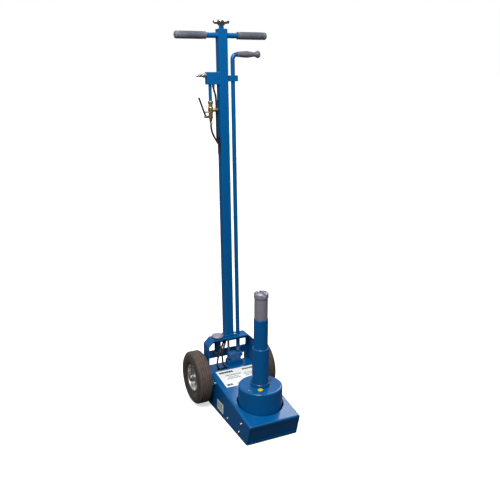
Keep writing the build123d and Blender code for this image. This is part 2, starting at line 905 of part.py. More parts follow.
def hose_slot(margin):
    """The slot in the post's left wall where the hoses go in, grown by a margin."""
    y0, y1 = hose_slot_y
    half = hose_slot_length / 2 + margin
    slot = block(-post_size, 0, y0 - margin, y1 + margin, hose_slot_height - half, hose_slot_height + half)
    return fillet(slot.edges().filter_by(Axis.X), hose_slot_corner)


def post_tube():
    """The square post, bored for the tee bar, slotted for the hoses and cut off on its flange."""
    tube = square_tube(post_size, post_wall, -post_below, post_length)
    tube -= rod_across(tee_radius, -post_size, post_size, 0, tee_height)
    tube = on_handle(tube - hose_slot(0))
    plate = block(-200, 200, 0, 600, frame_height - 60, frame_height + flange_thickness)
    return tube - plate


def post_flange():
    """The foot plate, with an opening for the hoses and the spindle."""
    x0 = -post_size / 2 - flange_margin[0]
    half = post_size / 2 + flange_margin[1]
    top = frame_height + flange_thickness
    plate = block(x0, flange_right, post_y - half, post_y + half, frame_height, top)
    plate = fillet(plate.edges().filter_by(Axis.Z), flange_corner)
    opening = post_size - 2 * post_wall
    plate -= on_handle(block(-opening / 2, opening / 2, -opening / 2, opening / 2, -20, 20))
    for x, y in flange_bolt_places():
        plate -= rod_up(bolt_radius + HOLE_GAP, frame_height - 1, top + 1, x, y)
    return plate


def post_cap():
    """The cap that closes the post, with the stub that carries the handwheel."""
    inner = post_size - 2 * post_wall
    corner = max(post_corner_radius - post_wall, 0.5)
    plug = extrude(RectangleRounded(inner, inner, corner), cap_plug)
    plug = Pos(0, 0, post_length - cap_plug) * plug
    lid = extrude(RectangleRounded(post_size, post_size, post_corner_radius), cap_thickness)
    cap = plug + Pos(0, 0, post_length) * lid + rod_up(stub_radius, post_length, post_length + stub_height)
    return on_handle(cap - rod_up(spindle_radius + RUNNING, post_length - 20, post_length + 40))


def tee_bar():
    """The handle's cross tube, bored in the middle for the spindle."""
    half = tee_length / 2
    bar = rod_across(tee_radius, -half, half, 0, tee_height)
    bar -= rod_across(tee_radius - tee_wall, -half - 1, half + 1, 0, tee_height)
    return on_handle(bar - rod_up(spindle_radius + tee_spindle_gap, tee_height - 40, tee_height + 40))


def tee_grip(side):
    """A moulded rubber grip with a collar and a closed round end."""
    outer_x = tee_length / 2 + grip_end
    inner_x = outer_x - grip_length
    grip = rod_across(grip_radius, inner_x, outer_x, 0, tee_height)
    ends = grip.edges().filter_by(GeomType.CIRCLE).sort_by(Axis.X)
    grip = fillet([ends[-1]], grip_round[1])
    ends = grip.edges().filter_by(GeomType.CIRCLE).sort_by(Axis.X)
    grip = fillet([ends[0]], grip_round[0])
    grip -= rod_across(tee_radius, inner_x - 1, tee_length / 2, 0, tee_height)
    return on_handle(grip if side > 0 else mirror(grip, Plane.YZ))


def handwheel():
    """A cast star wheel with a round hub under it."""
    base = post_length + stub_height + LOOSE
    low = base + handwheel_hub_height
    high = low + handwheel_thickness
    wheel = rod_up(handwheel_radius, low, high)
    notch = rod_up(handwheel_notch, low - 1, high + 1, handwheel_radius + handwheel_notch_offset)
    for number in range(handwheel_lobes):
        wheel -= Rot(0, 0, 360 / handwheel_lobes * (number + 0.5)) * notch
    rims = wheel.faces().filter_by(Axis.Z)
    wheel = fillet([e for f in rims for e in f.outer_wire().edges()], handwheel_edge)
    wheel += rod_up(handwheel_hub_radius, base, low + 2.0)
    return on_handle(wheel - rod_up(spindle_radius, base - 1, high - spindle_cover))


def spindle_rod():
    """The rod inside the post from the handwheel down to the valve block."""
    top = post_length + stub_height + LOOSE + handwheel_hub_height + handwheel_thickness - spindle_cover
    return on_handle(rod_up(spindle_radius, rod_bottom, top))


def control_rod():
    """The side rod with its bent crank end, and a spigot for the valve."""
    spigot_top = block_top - frame_height + 2.0
    points = [(rod_offset, 0, spigot_top), (rod_offset, 0, crank_height), (crank_grip_start, 0, crank_height)]
    path = FilletPolyline(*points, radius=rod_bend_radius - 0.1)
    rod = sweep(Pos(rod_offset, 0, spigot_top) * Circle(rod_radius), path=path)
    rod += rod_up(crank_spigot_radius, rod_bottom, spigot_top, rod_offset)
    end = crank_grip_start + crank_grip_length - crank_grip_end
    rod += rod_across(crank_spigot_radius, crank_grip_start, end, 0, crank_height)
    return on_handle(rod)


def crank_grip():
    """A hand shaped grip: swollen in the middle, waisted, with a flared end."""
    x0 = crank_grip_start
    profile = [(0.0, 9.6), (4.0, 10.8), (38.0, 13.0), (76.0, 8.6), (90.0, 14.2), (97.0, 13.4), (100.0, 8.0)]
    stretch = crank_grip_length / profile[-1][0]
    curve = Spline(*[(x0 + x * stretch, r) for x, r in profile])
    first, last = curve @ 0, curve @ 1
    edge = curve + Polyline(last, (last.X, 0), (first.X, 0), first)
    grip = revolve(Plane.XZ * make_face(edge), Axis.X)
    grip = Pos(0, 0, crank_height) * grip
    end = crank_grip_start + crank_grip_length - crank_grip_end
    return on_handle(grip - rod_across(crank_spigot_radius, x0 - 1, end, 0, crank_height))


def rod_coupling():
    """A plated sleeve pinned to the control rod just above the valve block."""
    low = block_top - frame_height + coupling_gap
    high = low + coupling_length
    sleeve = rod_up(coupling_radius, low, high, rod_offset)
    return on_handle(sleeve - rod_up(rod_radius, low - 1, high + 1, rod_offset))


def guide_bracket():
    """The welded bracket near the post's top that guides the control rod."""
    half = guide_depth / 2
    low = guide_height - guide_thickness / 2
    high = guide_height + guide_thickness / 2
    x1 = rod_offset + coupling_radius + guide_overhang
    bracket = block(post_size / 2, x1, -half, half, low, high)
    bracket = fillet(bracket.edges().filter_by(Axis.Z), guide_corner)
    return on_handle(bracket - rod_up(rod_radius + RUNNING, low - 1, high + 1, rod_offset))


# Air controls


def manifold_block():
    """The square block on the post's left that the air line plugs into."""
    depth = manifold_size[1] / 2
    top = manifold_height + manifold_size[2] / 2
    body = block(manifold_left, manifold_right, -depth, depth, manifold_base, top)
    left_edges = body.edges().filter_by(Axis.Z).group_by(Axis.X)[0]
    return on_handle(fillet(left_edges, manifold_corner))


def inlet_nipple():
    """A quick connect air nipple that points to the left."""
    z = manifold_height + nipple_height
    profile = [
        (0, 0), (9.0, 0), (9.0, 9.0), (7.5, 10.0), (7.5, 13.0), (nipple_radius, 15.0),
        (nipple_radius, 27.0), (4.6, 28.5), (4.6, 31.5), (5.6, 33.0), (5.6, 35.0),
        (3.8, nipple_length), (0, nipple_length),
    ]
    nipple = Pos(manifold_left, 0, z) * Rot(0, -90, 0) * turned(profile)
    tip = manifold_left - nipple_length - 1
    return on_handle(nipple - rod_across(nipple_bore, tip, manifold_left - 12.0, 0, z))


def drop_tube():
    """The tube that hangs the trigger valve under the manifold."""
    return on_handle(rod_up(drop_tube_radius, valve_top, manifold_base, drop_tube_x))


def lever_line(h):
    """The lever's centre line at height h, released."""
    return lever_pivot_x - (h - lever_pivot_height) * tan(radians(lever_angle))


def trigger_valve():
    """The brass valve with a side port, a plunger bore and two pivot ears."""
    profile = [
        (0, valve_bottom), (5.5, valve_bottom), (6.5, valve_bottom + 10), (8.0, valve_bottom + 12),
        (valve_radius, valve_bottom + 16), (valve_radius, port_height - 12), (10.5, port_height - 10),
        (10.5, port_height + 9), (valve_radius, port_height + 12), (valve_radius, valve_top - 8),
        (9.5, valve_top - 7), (9.5, valve_top), (0, valve_top),
    ]
    body = Pos(drop_tube_x, 0, 0) * turned(profile)
    body += rod_across(port_radius, drop_tube_x, -post_size / 2 - port_reach, 0, port_height)
    gap = lever_width / 2 + HOLE_GAP
    low = lever_pivot_height - lever_boss_radius
    high = lever_pivot_height + lever_boss_radius
    for side in (-1, 1):
        y0, y1 = sorted((side * gap, side * (gap + ear_thickness)))
        ear = block(lever_pivot_x, drop_tube_x, y0, y1, low, high)
        ear += rod_along(lever_boss_radius, y0, y1, lever_pivot_x, lever_pivot_height)
        ear -= rod_along(lever_pin_radius, y0 - 1, y1 + 1, lever_pivot_x, lever_pivot_height)
        body += ear
    z = lever_pivot_height + plunger_rise
    bore = rod_across(plunger_radius + RUNNING, drop_tube_x - 20, drop_tube_x + 6.0, 0, z)
    return on_handle(body - bore)


def lever_pin():
    half = lever_width / 2 + ear_thickness + 2.0
    return on_handle(rod_along(lever_pin_radius, -half, half, lever_pivot_x, lever_pivot_height))


def trigger_lever():
    """A flat black lever whose upper end is pressed towards the valve."""
    half = lever_width / 2
    edge = lever_half_thickness
    bar = block(-edge, edge, -half, half, 0, lever_reach - edge)
    bar += rod_along(edge, -half, half, 0, lever_reach - edge)
    bar += rod_along(lever_boss_radius, -half, half, 0, 0)
    bar -= rod_along(lever_pin_radius + RUNNING, -half - 1, half + 1, 0, 0)
    return on_handle(Pos(lever_pivot_x, 0, lever_pivot_height) * Rot(0, -lever_angle, 0) * bar)


def valve_plunger():
    """The valve's spring plunger, with its tip just clear of the released lever."""
    z = lever_pivot_height + plunger_rise
    lean = radians(lever_angle)
    face = lever_line(z) + lever_half_thickness / cos(lean) + plunger_radius * tan(lean)
    return on_handle(rod_across(plunger_radius, face + plunger_gap, drop_tube_x, 0, z))


# Hoses


def smooth_path(points):
    """Straight runs joined by the largest arcs that fit."""
    places = [Vector(*p) for p in points]
    room = [0.45 * (b - a).length for a, b in zip(places, places[1:])]
    room[0] *= 1.8
    room[-1] *= 1.8
    radii = []
    for number, (a, b, c) in enumerate(zip(places, places[1:], places[2:])):
        turn = radians((b - a).get_angle(c - b))
        radii.append(min(room[number], room[number + 1]) / tan(turn / 2))
    return FilletPolyline(*places, radius=radii)


def hose(points):
    """A round hose swept along its whole path."""
    path = smooth_path(points)
    start = Plane(origin=path @ 0, z_dir=path % 0)
    return sweep(start * Circle(hose_radius), path=path)


def motor_port(x):
    """Where a hose ends on top of the air motor's cap."""
    return (x, (motor_cap_y[0] + motor_cap_y[1]) / 2, motor_z + motor_radius + motor_cap_margin)


def supply_points():
    """From under the trigger valve, into the post, down through it and to the air motor."""
    start = valve_bottom - ferrule_length
    port = motor_port(-13.0)
    upper = [
        leaning(drop_tube_x, 0, start),
        leaning(drop_tube_x, 0, start - 18),
        leaning(drop_tube_x + 8, -1, start - 42),
        leaning(drop_tube_x + 21, -2, start - 65),
        leaning(drop_tube_x + 37, -3, start - 88),
        leaning(-11.5, -3, start - 113),
        leaning(-11.5, -3.3, -8),
    ]
    lower = [
        (-18.0, 304.0, 253.0), (-30.0, 295.0, 236.0), (-41.0, 286.0, 215.0),
        (-43.0, 280.0, 190.0), (-42.0, 277.0, 162.5), (port[0], port[1], 128.5), port,
    ]
    return upper + lower


def pilot_points():
    """From under the manifold, along the post, into it and to the air motor."""
    port = motor_port(-31.0)
    upper = [
        leaning(-38, 5, manifold_base),
        leaning(-38, 5, manifold_base - 16),
        leaning(-30, 9, manifold_base - 34),
        leaning(-25.0, 10.5, manifold_base - 56),
        leaning(-24.8, 10.5, manifold_base - 218),
        leaning(-11.2, 10.3, manifold_base - 246),
        leaning(-11.2, 8.7, -10),
    ]
    lower = [
        (-22.0, 313.0, 254.0), (-36.0, 298.5, 243.0), (-51.0, 285.0, 226.0),
        (-62.0, 281.0, 203.0), (-69.0, 278.0, 178.0), (-68.0, 275.0, 151.0),
        (port[0], port[1], 128.0), port,
    ]
    return upper + lower


def hose_ferrule():
    """The crimped ferrule that joins the supply hose to the valve."""
    ferrule = rod_up(ferrule_radius, valve_bottom - ferrule_length, valve_bottom, drop_tube_x)
    return on_handle(fillet(ferrule.edges().group_by(Axis.Z)[0], 1.0))


def hose_grommet():
    """A thin rubber edge round the hose slot on the post's left face."""
    face = -post_size / 2
    layer = block(face - grommet_thickness, face, -post_size, post_size, 0, post_length)
    return on_handle((hose_slot(grommet_margin) & layer) - hose_slot(0))


# Stored adapter


def adapter_cap():
    """The mushroom head of the stored adapter."""
    low = frame_height
    profile = [
        (0, low), (adapter_cap_radius - 5, low), (adapter_cap_radius, low + 6.5),
        (adapter_cap_radius, low + 8.5), (adapter_cap_radius - 4, low + 12.5),
        (adapter_cap_radius - 14, low + adapter_cap_height), (0, low + adapter_cap_height),
    ]
    return Pos(adapter_x, adapter_y, 0) * turned(profile)


def adapter_stem():
    low = frame_height - adapter_stem_length
    stem = rod_up(adapter_stem_radius, low, frame_height, adapter_x, adapter_y)
    return chamfer(stem.edges().group_by(Axis.Z)[0], adapter_bevel)


NODES = {
    "base_plate": base_plate,
    "chassis_cover": chassis_cover,
    "front_plate": front_plate,
    "rear_frame": rear_frame,
    "rear_panel": rear_panel,
    "frame_bolts": frame_bolts,
    "labels": labels,
    "reservoir_drum": reservoir_drum,
    "cylinder_foot": cylinder_foot,
    "cylinder_barrel": cylinder_barrel,
    "ram_gland": ram_gland,
    "gland_wiper": gland_wiper,
    "filler_plug": filler_plug,
    "filler_washer": filler_washer,
    "bleed_screw": bleed_screw,
    "valve_block": valve_block,
    "pump_body": pump_body,
    "air_motor_body": air_motor_body,
    "air_motor_cap": air_motor_cap,
    "air_silencer": air_silencer,
    "pressure_pipe": pressure_pipe,
    "air_piston": air_piston,
    "axle": axle,
    "axle_blocks": axle_blocks,
    "axle_washers": axle_washers,
    "axle_nuts": axle_nuts,
    "tyre_left": lambda: tyre(-1),
    "tyre_right": lambda: tyre(1),
    "rim_left": lambda: rim(-1),
    "rim_right": lambda: rim(1),
    "hub_bush_left": lambda: hub_bush(-1),
    "hub_bush_right": lambda: hub_bush(1),
    "post_tube": post_tube,
    "post_flange": post_flange,
    "post_cap": post_cap,
    "tee_bar": tee_bar,
    "grip_left": lambda: tee_grip(-1),
    "grip_right": lambda: tee_grip(1),
    "guide_bracket": guide_bracket,
    "manifold_block": manifold_block,
    "inlet_nipple": inlet_nipple,
    "drop_tube": drop_tube,
    "trigger_valve": trigger_valve,
    "lever_pin": lever_pin,
    "hose_ferrule": hose_ferrule,
    "hose_grommet": hose_grommet,
    "supply_hose": lambda: hose(supply_points()),
    "pilot_hose": lambda: hose(pilot_points()),
    "ram_stage_1": ram_stage_1,
    "stage_1_seal": stage_1_seal,
    "ram_stage_2": ram_stage_2,
    "ram_saddle": ram_saddle,
    "handwheel": handwheel,
    "spindle_rod": spindle_rod,
    "control_rod": control_rod,
    "crank_grip": crank_grip,
    "rod_coupling": rod_coupling,
    "trigger_lever": trigger_lever,
    "valve_plunger": valve_plunger,
    "adapter": lambda: adapter_cap() + adapter_stem(),
}

for node_name, make in NODES.items():
    export_step(make(), f"parts/{node_name}.step")
print(len(NODES), "nodes")
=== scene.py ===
"""Looks of a wheeled air hydraulic axle jack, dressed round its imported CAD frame.

Places are metres in the CAD frame: +Z up, the ram end at -Y and the handle at +Y. Outlines
for turn() are millimetres.
"""
import json
import logging
import math
from dataclasses import dataclass
from enum import Enum
from functools import partial
from typing import Callable, Sequence

import bpy
from mathutils import Matrix, Vector


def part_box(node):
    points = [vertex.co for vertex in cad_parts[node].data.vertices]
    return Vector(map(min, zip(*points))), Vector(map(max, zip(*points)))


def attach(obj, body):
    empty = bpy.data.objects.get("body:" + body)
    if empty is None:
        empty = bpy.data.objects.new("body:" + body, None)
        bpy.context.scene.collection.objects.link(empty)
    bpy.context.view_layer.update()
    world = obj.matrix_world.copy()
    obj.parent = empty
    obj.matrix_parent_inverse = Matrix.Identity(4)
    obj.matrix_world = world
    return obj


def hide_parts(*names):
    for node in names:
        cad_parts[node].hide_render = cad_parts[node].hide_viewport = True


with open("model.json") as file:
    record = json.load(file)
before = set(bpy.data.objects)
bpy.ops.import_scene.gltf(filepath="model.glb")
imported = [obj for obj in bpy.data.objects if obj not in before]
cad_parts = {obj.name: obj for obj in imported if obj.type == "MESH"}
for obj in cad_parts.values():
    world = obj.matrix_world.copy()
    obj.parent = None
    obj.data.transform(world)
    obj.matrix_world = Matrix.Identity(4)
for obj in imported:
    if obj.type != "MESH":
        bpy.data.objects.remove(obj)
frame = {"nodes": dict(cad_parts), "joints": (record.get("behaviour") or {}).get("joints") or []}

LOG = logging.getLogger("axle_jack")
MM = 0.001
UP = Vector((0.0, 0.0, 1.0))
WHITE = (1.0, 1.0, 1.0, 1.0)
Point = tuple[float, float]
Outline = Sequence[Point]
Place = tuple[float, float, float]
Four = tuple[float, float, float, float]
Piece = bpy.types.Object
Tree = bpy.types.NodeTree
Socket = bpy.types.NodeSocket
Inputs = dict[str | int, object]
Add = Callable[..., Socket | None]


class Body(Enum):
    """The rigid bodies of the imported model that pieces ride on."""

    CHASSIS = "chassis"
    WHEEL_LEFT = "wheel_left"
    WHEEL_RIGHT = "wheel_right"
    SADDLE = "saddle"
    SPINDLE = "feed_spindle"
    CRANK = "release_crank"
    ADAPTER = "stored_adapter"


class Side(Enum):
    """The two sides of the jack, as the sign of X."""

    LEFT = -1
    RIGHT = 1

    @property
    def word(self) -> str:
        """The side's name as the CAD nodes write it."""
        return self.name.lower()

    @property
    def outward(self) -> Vector:
        """The direction away from the middle."""
        return Vector((self.value, 0.0, 0.0))


# Node and colour helpers


def linear(colour: str) -> Four:
    """Turn an sRGB hex colour into linear RGBA.

    Args:
        colour: A hex colour such as "#00529A".

    Returns:
        The linear red, green, blue and an alpha of 1.
    """
    parts = [int(colour[i:i + 2], 16) / 255 for i in (1, 3, 5)]
    red, green, blue = (p / 12.92 if p <= 0.04045 else ((p + 0.055) / 1.055) ** 2.4 for p in parts)
    return red, green, blue, 1.0


def add_node(
    tree: Tree, kind: str, inputs: Inputs | None = None, output: str | int = 0, **settings: object,
) -> Socket | None:
    """Add one node with its settings, values and links.

    Args:
        tree: The node tree.
        kind: The node's type name without its leading ShaderNode.
        inputs: A value, or the socket that feeds it, for each input by its name or number.
        output: The output that is wanted.
        settings: Attributes of the node.

    Returns:
        The wanted output, or None from a node that ends the tree.
    """
    node = tree.nodes.new(f"ShaderNode{kind}")
    for key, value in settings.items():
        setattr(node, key, value)
    for key, value in (inputs or {}).items():
        if isinstance(value, Socket):
            tree.links.new(value, node.inputs[key])
        else:
            node.inputs[key].default_value = value
    return node.outputs[output] if len(node.outputs) else None


# Finishes. Marks, grain and stipple are finer than this on the real jack. They are drawn as coarse as they
# need to be to show.


@dataclass(frozen=True)
class Finish:
    """A real surface: its material, its colour and how it was made.

    Attributes:
        name: The material's name in the file.
        slot: The record's material slot. It is not used.
        colour: The main colour, sRGB hex.
        roughness: The middle roughness.
    """

    name: str
    slot: str
    colour: str
    roughness: float

    def material(self) -> bpy.types.Material:
        """Make the material once and give it back each time after that.

        Returns:
            The material.
        """
        found = bpy.data.materials.get(self.name)
        if found is not None:
            return found
        made = bpy.data.materials.new(self.name)
        made.use_nodes = True
        made.diffuse_color = linear(self.colour)
        made.node_tree.nodes.clear()
        add = partial(add_node, made.node_tree)
        place = add("TexCoord", output="Object")
        shader = add("BsdfPrincipled", self.surface(add, place))
        add("OutputMaterial", {"Surface": shader})
        return made

    def surface(self, add: Add, place: Socket) -> Inputs:
        """Add the nodes that vary the surface.

        Args:
            add: Adds a node to the material.
            place: The place on the object.

        Returns:
            The inputs of the material's shader.
        """
        raise NotImplementedError

    @staticmethod
    def paled_edge_highlight_and_wear(add: Add, radius: float, span: Point, most: float) -> tuple[Socket, Socket]:
        """Find the sharp edges and how much paler to paint them: a painted highlight on enamel, wear on coated
        steel.

        Args:
            add: Adds a node to the material.
            radius: The radius that an edge is softened by.
            span: How well the true and the softened normal agree where the edge starts to turn paler and
                where it is palest.
            most: The most that an edge is paled.

        Returns:
            The softened normal and how much paler the edge is painted.
        """
        edge = add("Bevel", {"Radius": radius}, samples=4)
        flat = add("NewGeometry", output="Normal")
        bend = add("VectorMath", {0: flat, 1: edge}, "Value", operation="DOT_PRODUCT")
        start, full = span
        highlight_and_wear_amount = add("MapRange", {"Value": bend, "From Min": start, "From Max": full, "To Max": most})
        return edge, highlight_and_wear_amount


@dataclass(frozen=True)
class GlossEnamel(Finish):
    """Sprayed gloss enamel: smooth and wet looking, with orange peel and a painted highlight on its edges.

    Attributes:
        shade: The darker colour of thick, blotchy areas.
        edge_highlight_colour: The paler colour painted on the edges as a painted highlight.
        blotch: Size of a blotch.
        haze: Size of a patch that is less polished.
        peel: Size of one orange peel dimple.
    """

    shade: str = "#004A80"
    # A paler blue painted on the sharp edges: a painted highlight.
    edge_highlight_colour: str = "#2F86C8"
    blotch: float = 1.0 / 9.0
    haze: float = 1.0 / 38.0
    peel: float = 2.4 * MM

    def surface(self, add: Add, place: Socket) -> Inputs:
        """Blotch the colour, paint a highlight on the edges and dimple the film.

        Args:
            add: Adds a node to the material.
            place: The place on the object.

        Returns:
            The inputs of the material's shader.
        """
        blotch = add("TexNoise", {"Vector": place, "Scale": 1.0 / self.blotch, "Detail": 3.0})
        thick = add("MapRange", {"Value": blotch, "From Min": 0.42, "From Max": 0.85, "To Max": 0.25})
        ends = {6: linear(self.colour), 7: linear(self.shade)}
        film = add("Mix", {0: thick, **ends}, 2, data_type="RGBA")
        # The sharp edges are mixed towards the paler blue: a painted edge highlight.
        edge, highlight_and_wear_amount = self.paled_edge_highlight_and_wear(add, 1.1 * MM, (0.98, 0.78), 0.55)
        ends = {6: film, 7: linear(self.edge_highlight_colour)}
        colour = add("Mix", {0: highlight_and_wear_amount, **ends}, 2, data_type="RGBA")
        haze = add("TexNoise", {"Vector": place, "Scale": 1.0 / self.haze, "Detail": 4.0})
        ends = {"To Min": self.roughness - 0.03, "To Max": self.roughness + 0.05}
        rough = add("MapRange", {"Value": haze, "From Min": 0.3, "From Max": 0.75, **ends})
        dimples = add("TexNoise", {"Vector": place, "Scale": 1.0 / self.peel, "Detail": 1.0})
        bump = add("Bump", {"Height": dimples, "Normal": edge, "Strength": 0.06, "Distance": 0.10 * MM})
        return {
            "Base Color": colour, "Roughness": rough, "Normal": bump,
            "Coat Weight": 0.3, "Coat Roughness": 0.04, "Specular IOR Level": 0.25,
        }


@dataclass(frozen=True)
class WorkedMetal(Finish):
    """A bare or plated metal with fine working marks and a slightly uneven polish.

    Attributes:
        stain: The colour of handled or oxidised patches.
        patch: Size of a patch.
        marks: Spacing of the working marks.
        depth: Height of the marks.
        stretch: How far the marks run along each axis, as scale factors.
        bevel: Radius that sharp edges are softened by.
    """

    stain: str = "#6A6864"
    patch: float = 1.0 / 45.0
    marks: float = 0.8 * MM
    depth: float = 0.02 * MM
    stretch: Place = (1.0, 1.0, 1.0)
    bevel: float = 0.5 * MM

    def surface(self, add: Add, place: Socket) -> Inputs:
        """Stain the metal a little and score it with marks.

        Args:
            add: Adds a node to the material.
            place: The place on the object.

        Returns:
            The inputs of the material's shader.
        """
        patches = add("TexNoise", {"Vector": place, "Scale": 1.0 / self.patch, "Detail": 5.0})
        amount = add("MapRange", {"Value": patches, "From Min": 0.45, "From Max": 0.8, "To Max": 0.55})
        ends = {6: linear(self.colour), 7: linear(self.stain)}
        colour = add("Mix", {0: amount, **ends}, 2, data_type="RGBA")
        ends = {"To Min": self.roughness * 0.75, "To Max": self.roughness * 1.45}
        rough = add("MapRange", {"Value": patches, "From Min": 0.3, "From Max": 0.8, **ends})
        run = add("Mapping", {"Vector": place, "Scale": self.stretch})
        lines = add("TexNoise", {"Vector": run, "Scale": 1.0 / self.marks, "Detail": 2.0})
        edge = add("Bevel", {"Radius": self.bevel}, samples=4)
        bump = add("Bump", {"Height": lines, "Normal": edge, "Strength": 0.5, "Distance": self.depth})
        return {"Base Color": colour, "Roughness": rough, "Normal": bump, "Metallic": 1.0}


@dataclass(frozen=True)
class CoatedSteel(Finish):
    """Steel under a thin dull coat, such as phosphate or black oxide: dark, grainy and half metallic.

    Attributes:
        worn: The colour of rubbed edges.
        cloud: Size of a cloud in the coat.
        grain: Size of the coat's grain.
        metallic: How much of the metal shows.
    """

    worn: str = "#A2A6AC"
    cloud: float = 1.0 / 70.0
    grain: float = 0.9 * MM
    metallic: float = 0.35

    def surface(self, add: Add, place: Socket) -> Inputs:
        """Grain the coat and rub its edges bright.

        Args:
            add: Adds a node to the material.
            place: The place on the object.

        Returns:
            The inputs of the material's shader.
        """
        cloud = add("TexNoise", {"Vector": place, "Scale": 1.0 / self.cloud, "Detail": 6.0})
        edge, rubbed = self.paled_edge_highlight_and_wear(add, 0.9 * MM, (0.97, 0.75), 0.7)
        plain = linear(self.colour)
        colour = add(
            "Mix", {0: 0.45, 6: plain, 7: cloud.node.outputs["Color"]}, 2,
            data_type="RGBA", blend_type="MULTIPLY",
        )
        for amount, over in ((0.55, plain), (rubbed, linear(self.worn))):
            colour = add("Mix", {0: amount, 6: colour, 7: over}, 2, data_type="RGBA")
        ends = {"To Min": self.roughness - 0.08, "To Max": self.roughness + 0.12}
        rough = add("MapRange", {"Value": cloud, "From Min": 0.3, "From Max": 0.7, **ends})
        grit = add("TexNoise", {"Vector": place, "Scale": 1.0 / self.grain, "Detail": 2.0})
        bump = add("Bump", {"Height": grit, "Normal": edge, "Strength": 0.35, "Distance": 0.08 * MM})
        return {"Base Color": colour, "Roughness": rough, "Normal": bump, "Metallic": self.metallic}


@dataclass(frozen=True)
class MouldedPolymer(Finish):
    """Rubber or plastic from a mould: a fine stipple, a soft sheen and faint bloom.

    Attributes:
        bloom: The paler colour of dusty or handled patches.
        patch: Size of a patch.
        stipple: Size of the mould's texture.
        height: The height of that texture.
        sheen: The sheen of a soft surface.
        amount: How much bloom shows, 0 to 1.
    """

    bloom: str = "#8A8C92"
    patch: float = 1.0 / 30.0
    stipple: float = 0.7 * MM
    height: float = 0.05 * MM
    sheen: float = 0.15
    amount: float = 0.35

    def surface(self, add: Add, place: Socket) -> Inputs:
        """Bloom the colour and stipple the skin.

        Args:
            add: Adds a node to the material.
            place: The place on the object.

        Returns:
            The inputs of the material's shader.
        """
        dust = add("TexNoise", {"Vector": place, "Scale": 1.0 / self.patch, "Detail": 5.0})
        amount = add("MapRange", {"Value": dust, "From Min": 0.4, "From Max": 0.8, "To Max": self.amount})
        ends = {6: linear(self.colour), 7: linear(self.bloom)}
        colour = add("Mix", {0: amount, **ends}, 2, data_type="RGBA")
        ends = {"To Min": self.roughness - 0.08, "To Max": self.roughness + 0.08}
        rough = add("MapRange", {"Value": dust, "From Min": 0.3, "From Max": 0.7, **ends})
        skin = add("TexNoise", {"Vector": place, "Scale": 1.0 / self.stipple, "Detail": 2.0})
        bump = add("Bump", {"Height": skin, "Strength": 0.5, "Distance": self.height})
        return {
            "Base Color": colour, "Roughness": rough, "Normal": bump,
            "Sheen Weight": self.sheen, "Sheen Roughness": 0.4,
        }


@dataclass(frozen=True)
class TyreRubber(Finish):
    """Vulcanised tyre rubber: dark matt sidewalls and a paler, dusty brown tread.

    Attributes:
        tread: The colour of the dusty tread.
        centre: The axle's y and z, where the pattern is centred.
        shoulder: The radii between which the sidewall turns into tread.
        patch: Size of a dusty patch.
        ring: Spacing of the moulding rings.
        grit: Size of the rubber's grain.
    """

    tread: str = "#6B5C54"
    centre: Point = (0.0, 0.0)
    shoulder: Point = (0.100, 0.111)
    patch: float = 1.0 / 55.0
    ring: float = 2.2 * MM
    grit: float = 1.0 / 900.0

    def surface(self, add: Add, place: Socket) -> Inputs:
        """Dust the tread and leave moulding rings on the sidewall.

        Args:
            add: Adds a node to the material.
            place: The place on the object.

        Returns:
            The inputs of the material's shader.
        """
        y, z = self.centre
        hub = add("Mapping", {"Vector": place, "Location": (0.0, -y, -z), "Scale": (0.0, 1.0, 1.0)})
        radius = add("VectorMath", {0: hub}, "Value", operation="LENGTH")
        inner, outer = self.shoulder
        outside = add("MapRange", {"Value": radius, "From Min": inner, "From Max": outer})
        dust = add("TexNoise", {"Vector": place, "Scale": 1.0 / self.patch, "Detail": 6.0})
        dusty = add("Math", {0: outside, 1: dust}, operation="MULTIPLY")
        cover = add("Math", {0: dusty, 1: 0.9, 2: 0.22}, operation="MULTIPLY_ADD")
        ends = {6: linear(self.colour), 7: linear(self.tread)}
        colour = add("Mix", {0: cover, **ends}, 2, data_type="RGBA")
        phase = add("Math", {0: radius, 1: math.tau / self.ring}, operation="MULTIPLY")
        rings = add("Math", {0: phase}, operation="SINE")
        grit = add("TexNoise", {"Vector": place, "Scale": 1.0 / self.grit, "Detail": 2.0})
        skin = add("Math", {0: rings, 1: 0.35, 2: grit}, operation="MULTIPLY_ADD")
        bump = add("Bump", {"Height": skin, "Strength": 0.4, "Distance": 0.12 * MM})
        ends = {"To Min": self.roughness - 0.12, "To Max": self.roughness + 0.14}
        rough = add("MapRange", {"Value": cover, **ends})
        return {
            "Base Color": colour, "Roughness": rough, "Normal": bump,
            "Sheen Weight": 0.1, "Specular IOR Level": 0.4,
        }


ENAMEL = GlossEnamel("blue_gloss_enamel", "blue_enamel", "#005B99", 0.20)
# A darker copy of the blue enamel: painted shade for the adapter's stem, which stands in the shade inside the
# frame. Its paler edge colour is a painted highlight.
SHADED_ENAMEL = GlossEnamel("blue_enamel_painted_shade", "blue_enamel", "#0B2F5E", 0.35, "#071E3D", "#2A5488")
GROUND_STEEL = WorkedMetal("ground_steel", "machined_steel", "#B4B5B6", 0.30, marks=0.6 * MM)
ZINC = WorkedMetal(
    "bright_zinc_plate", "zinc_plated_steel", "#DCDDDF", 0.24, stain="#A9A7A2", bevel=0.7 * MM,
)
RIM_STEEL = WorkedMetal(
    "pressed_bright_steel", "pressed_steel_rim", "#E2E0E0", 0.34, stain="#9C9A97", bevel=0.8 * MM,
)
ALUMINIUM = WorkedMetal("machined_aluminium", "motor_aluminium", "#C9CBCD", 0.32, stain="#A0A2A4")
BRASS = WorkedMetal(
    "turned_brass", "brass", "#F0D291", 0.30, stain="#CFA05C", stretch=(1.0, 1.0, 6.0),
)
BRONZE = WorkedMetal("sintered_bronze", "bush_bronze", "#A97B45", 0.45, stain="#7A5730")
CHROME = WorkedMetal(
    "chromed_casting", "chrome_casting", "#D8CCC6", 0.27, stain="#A8988F", marks=4.0 * MM, depth=0.05 * MM,
)
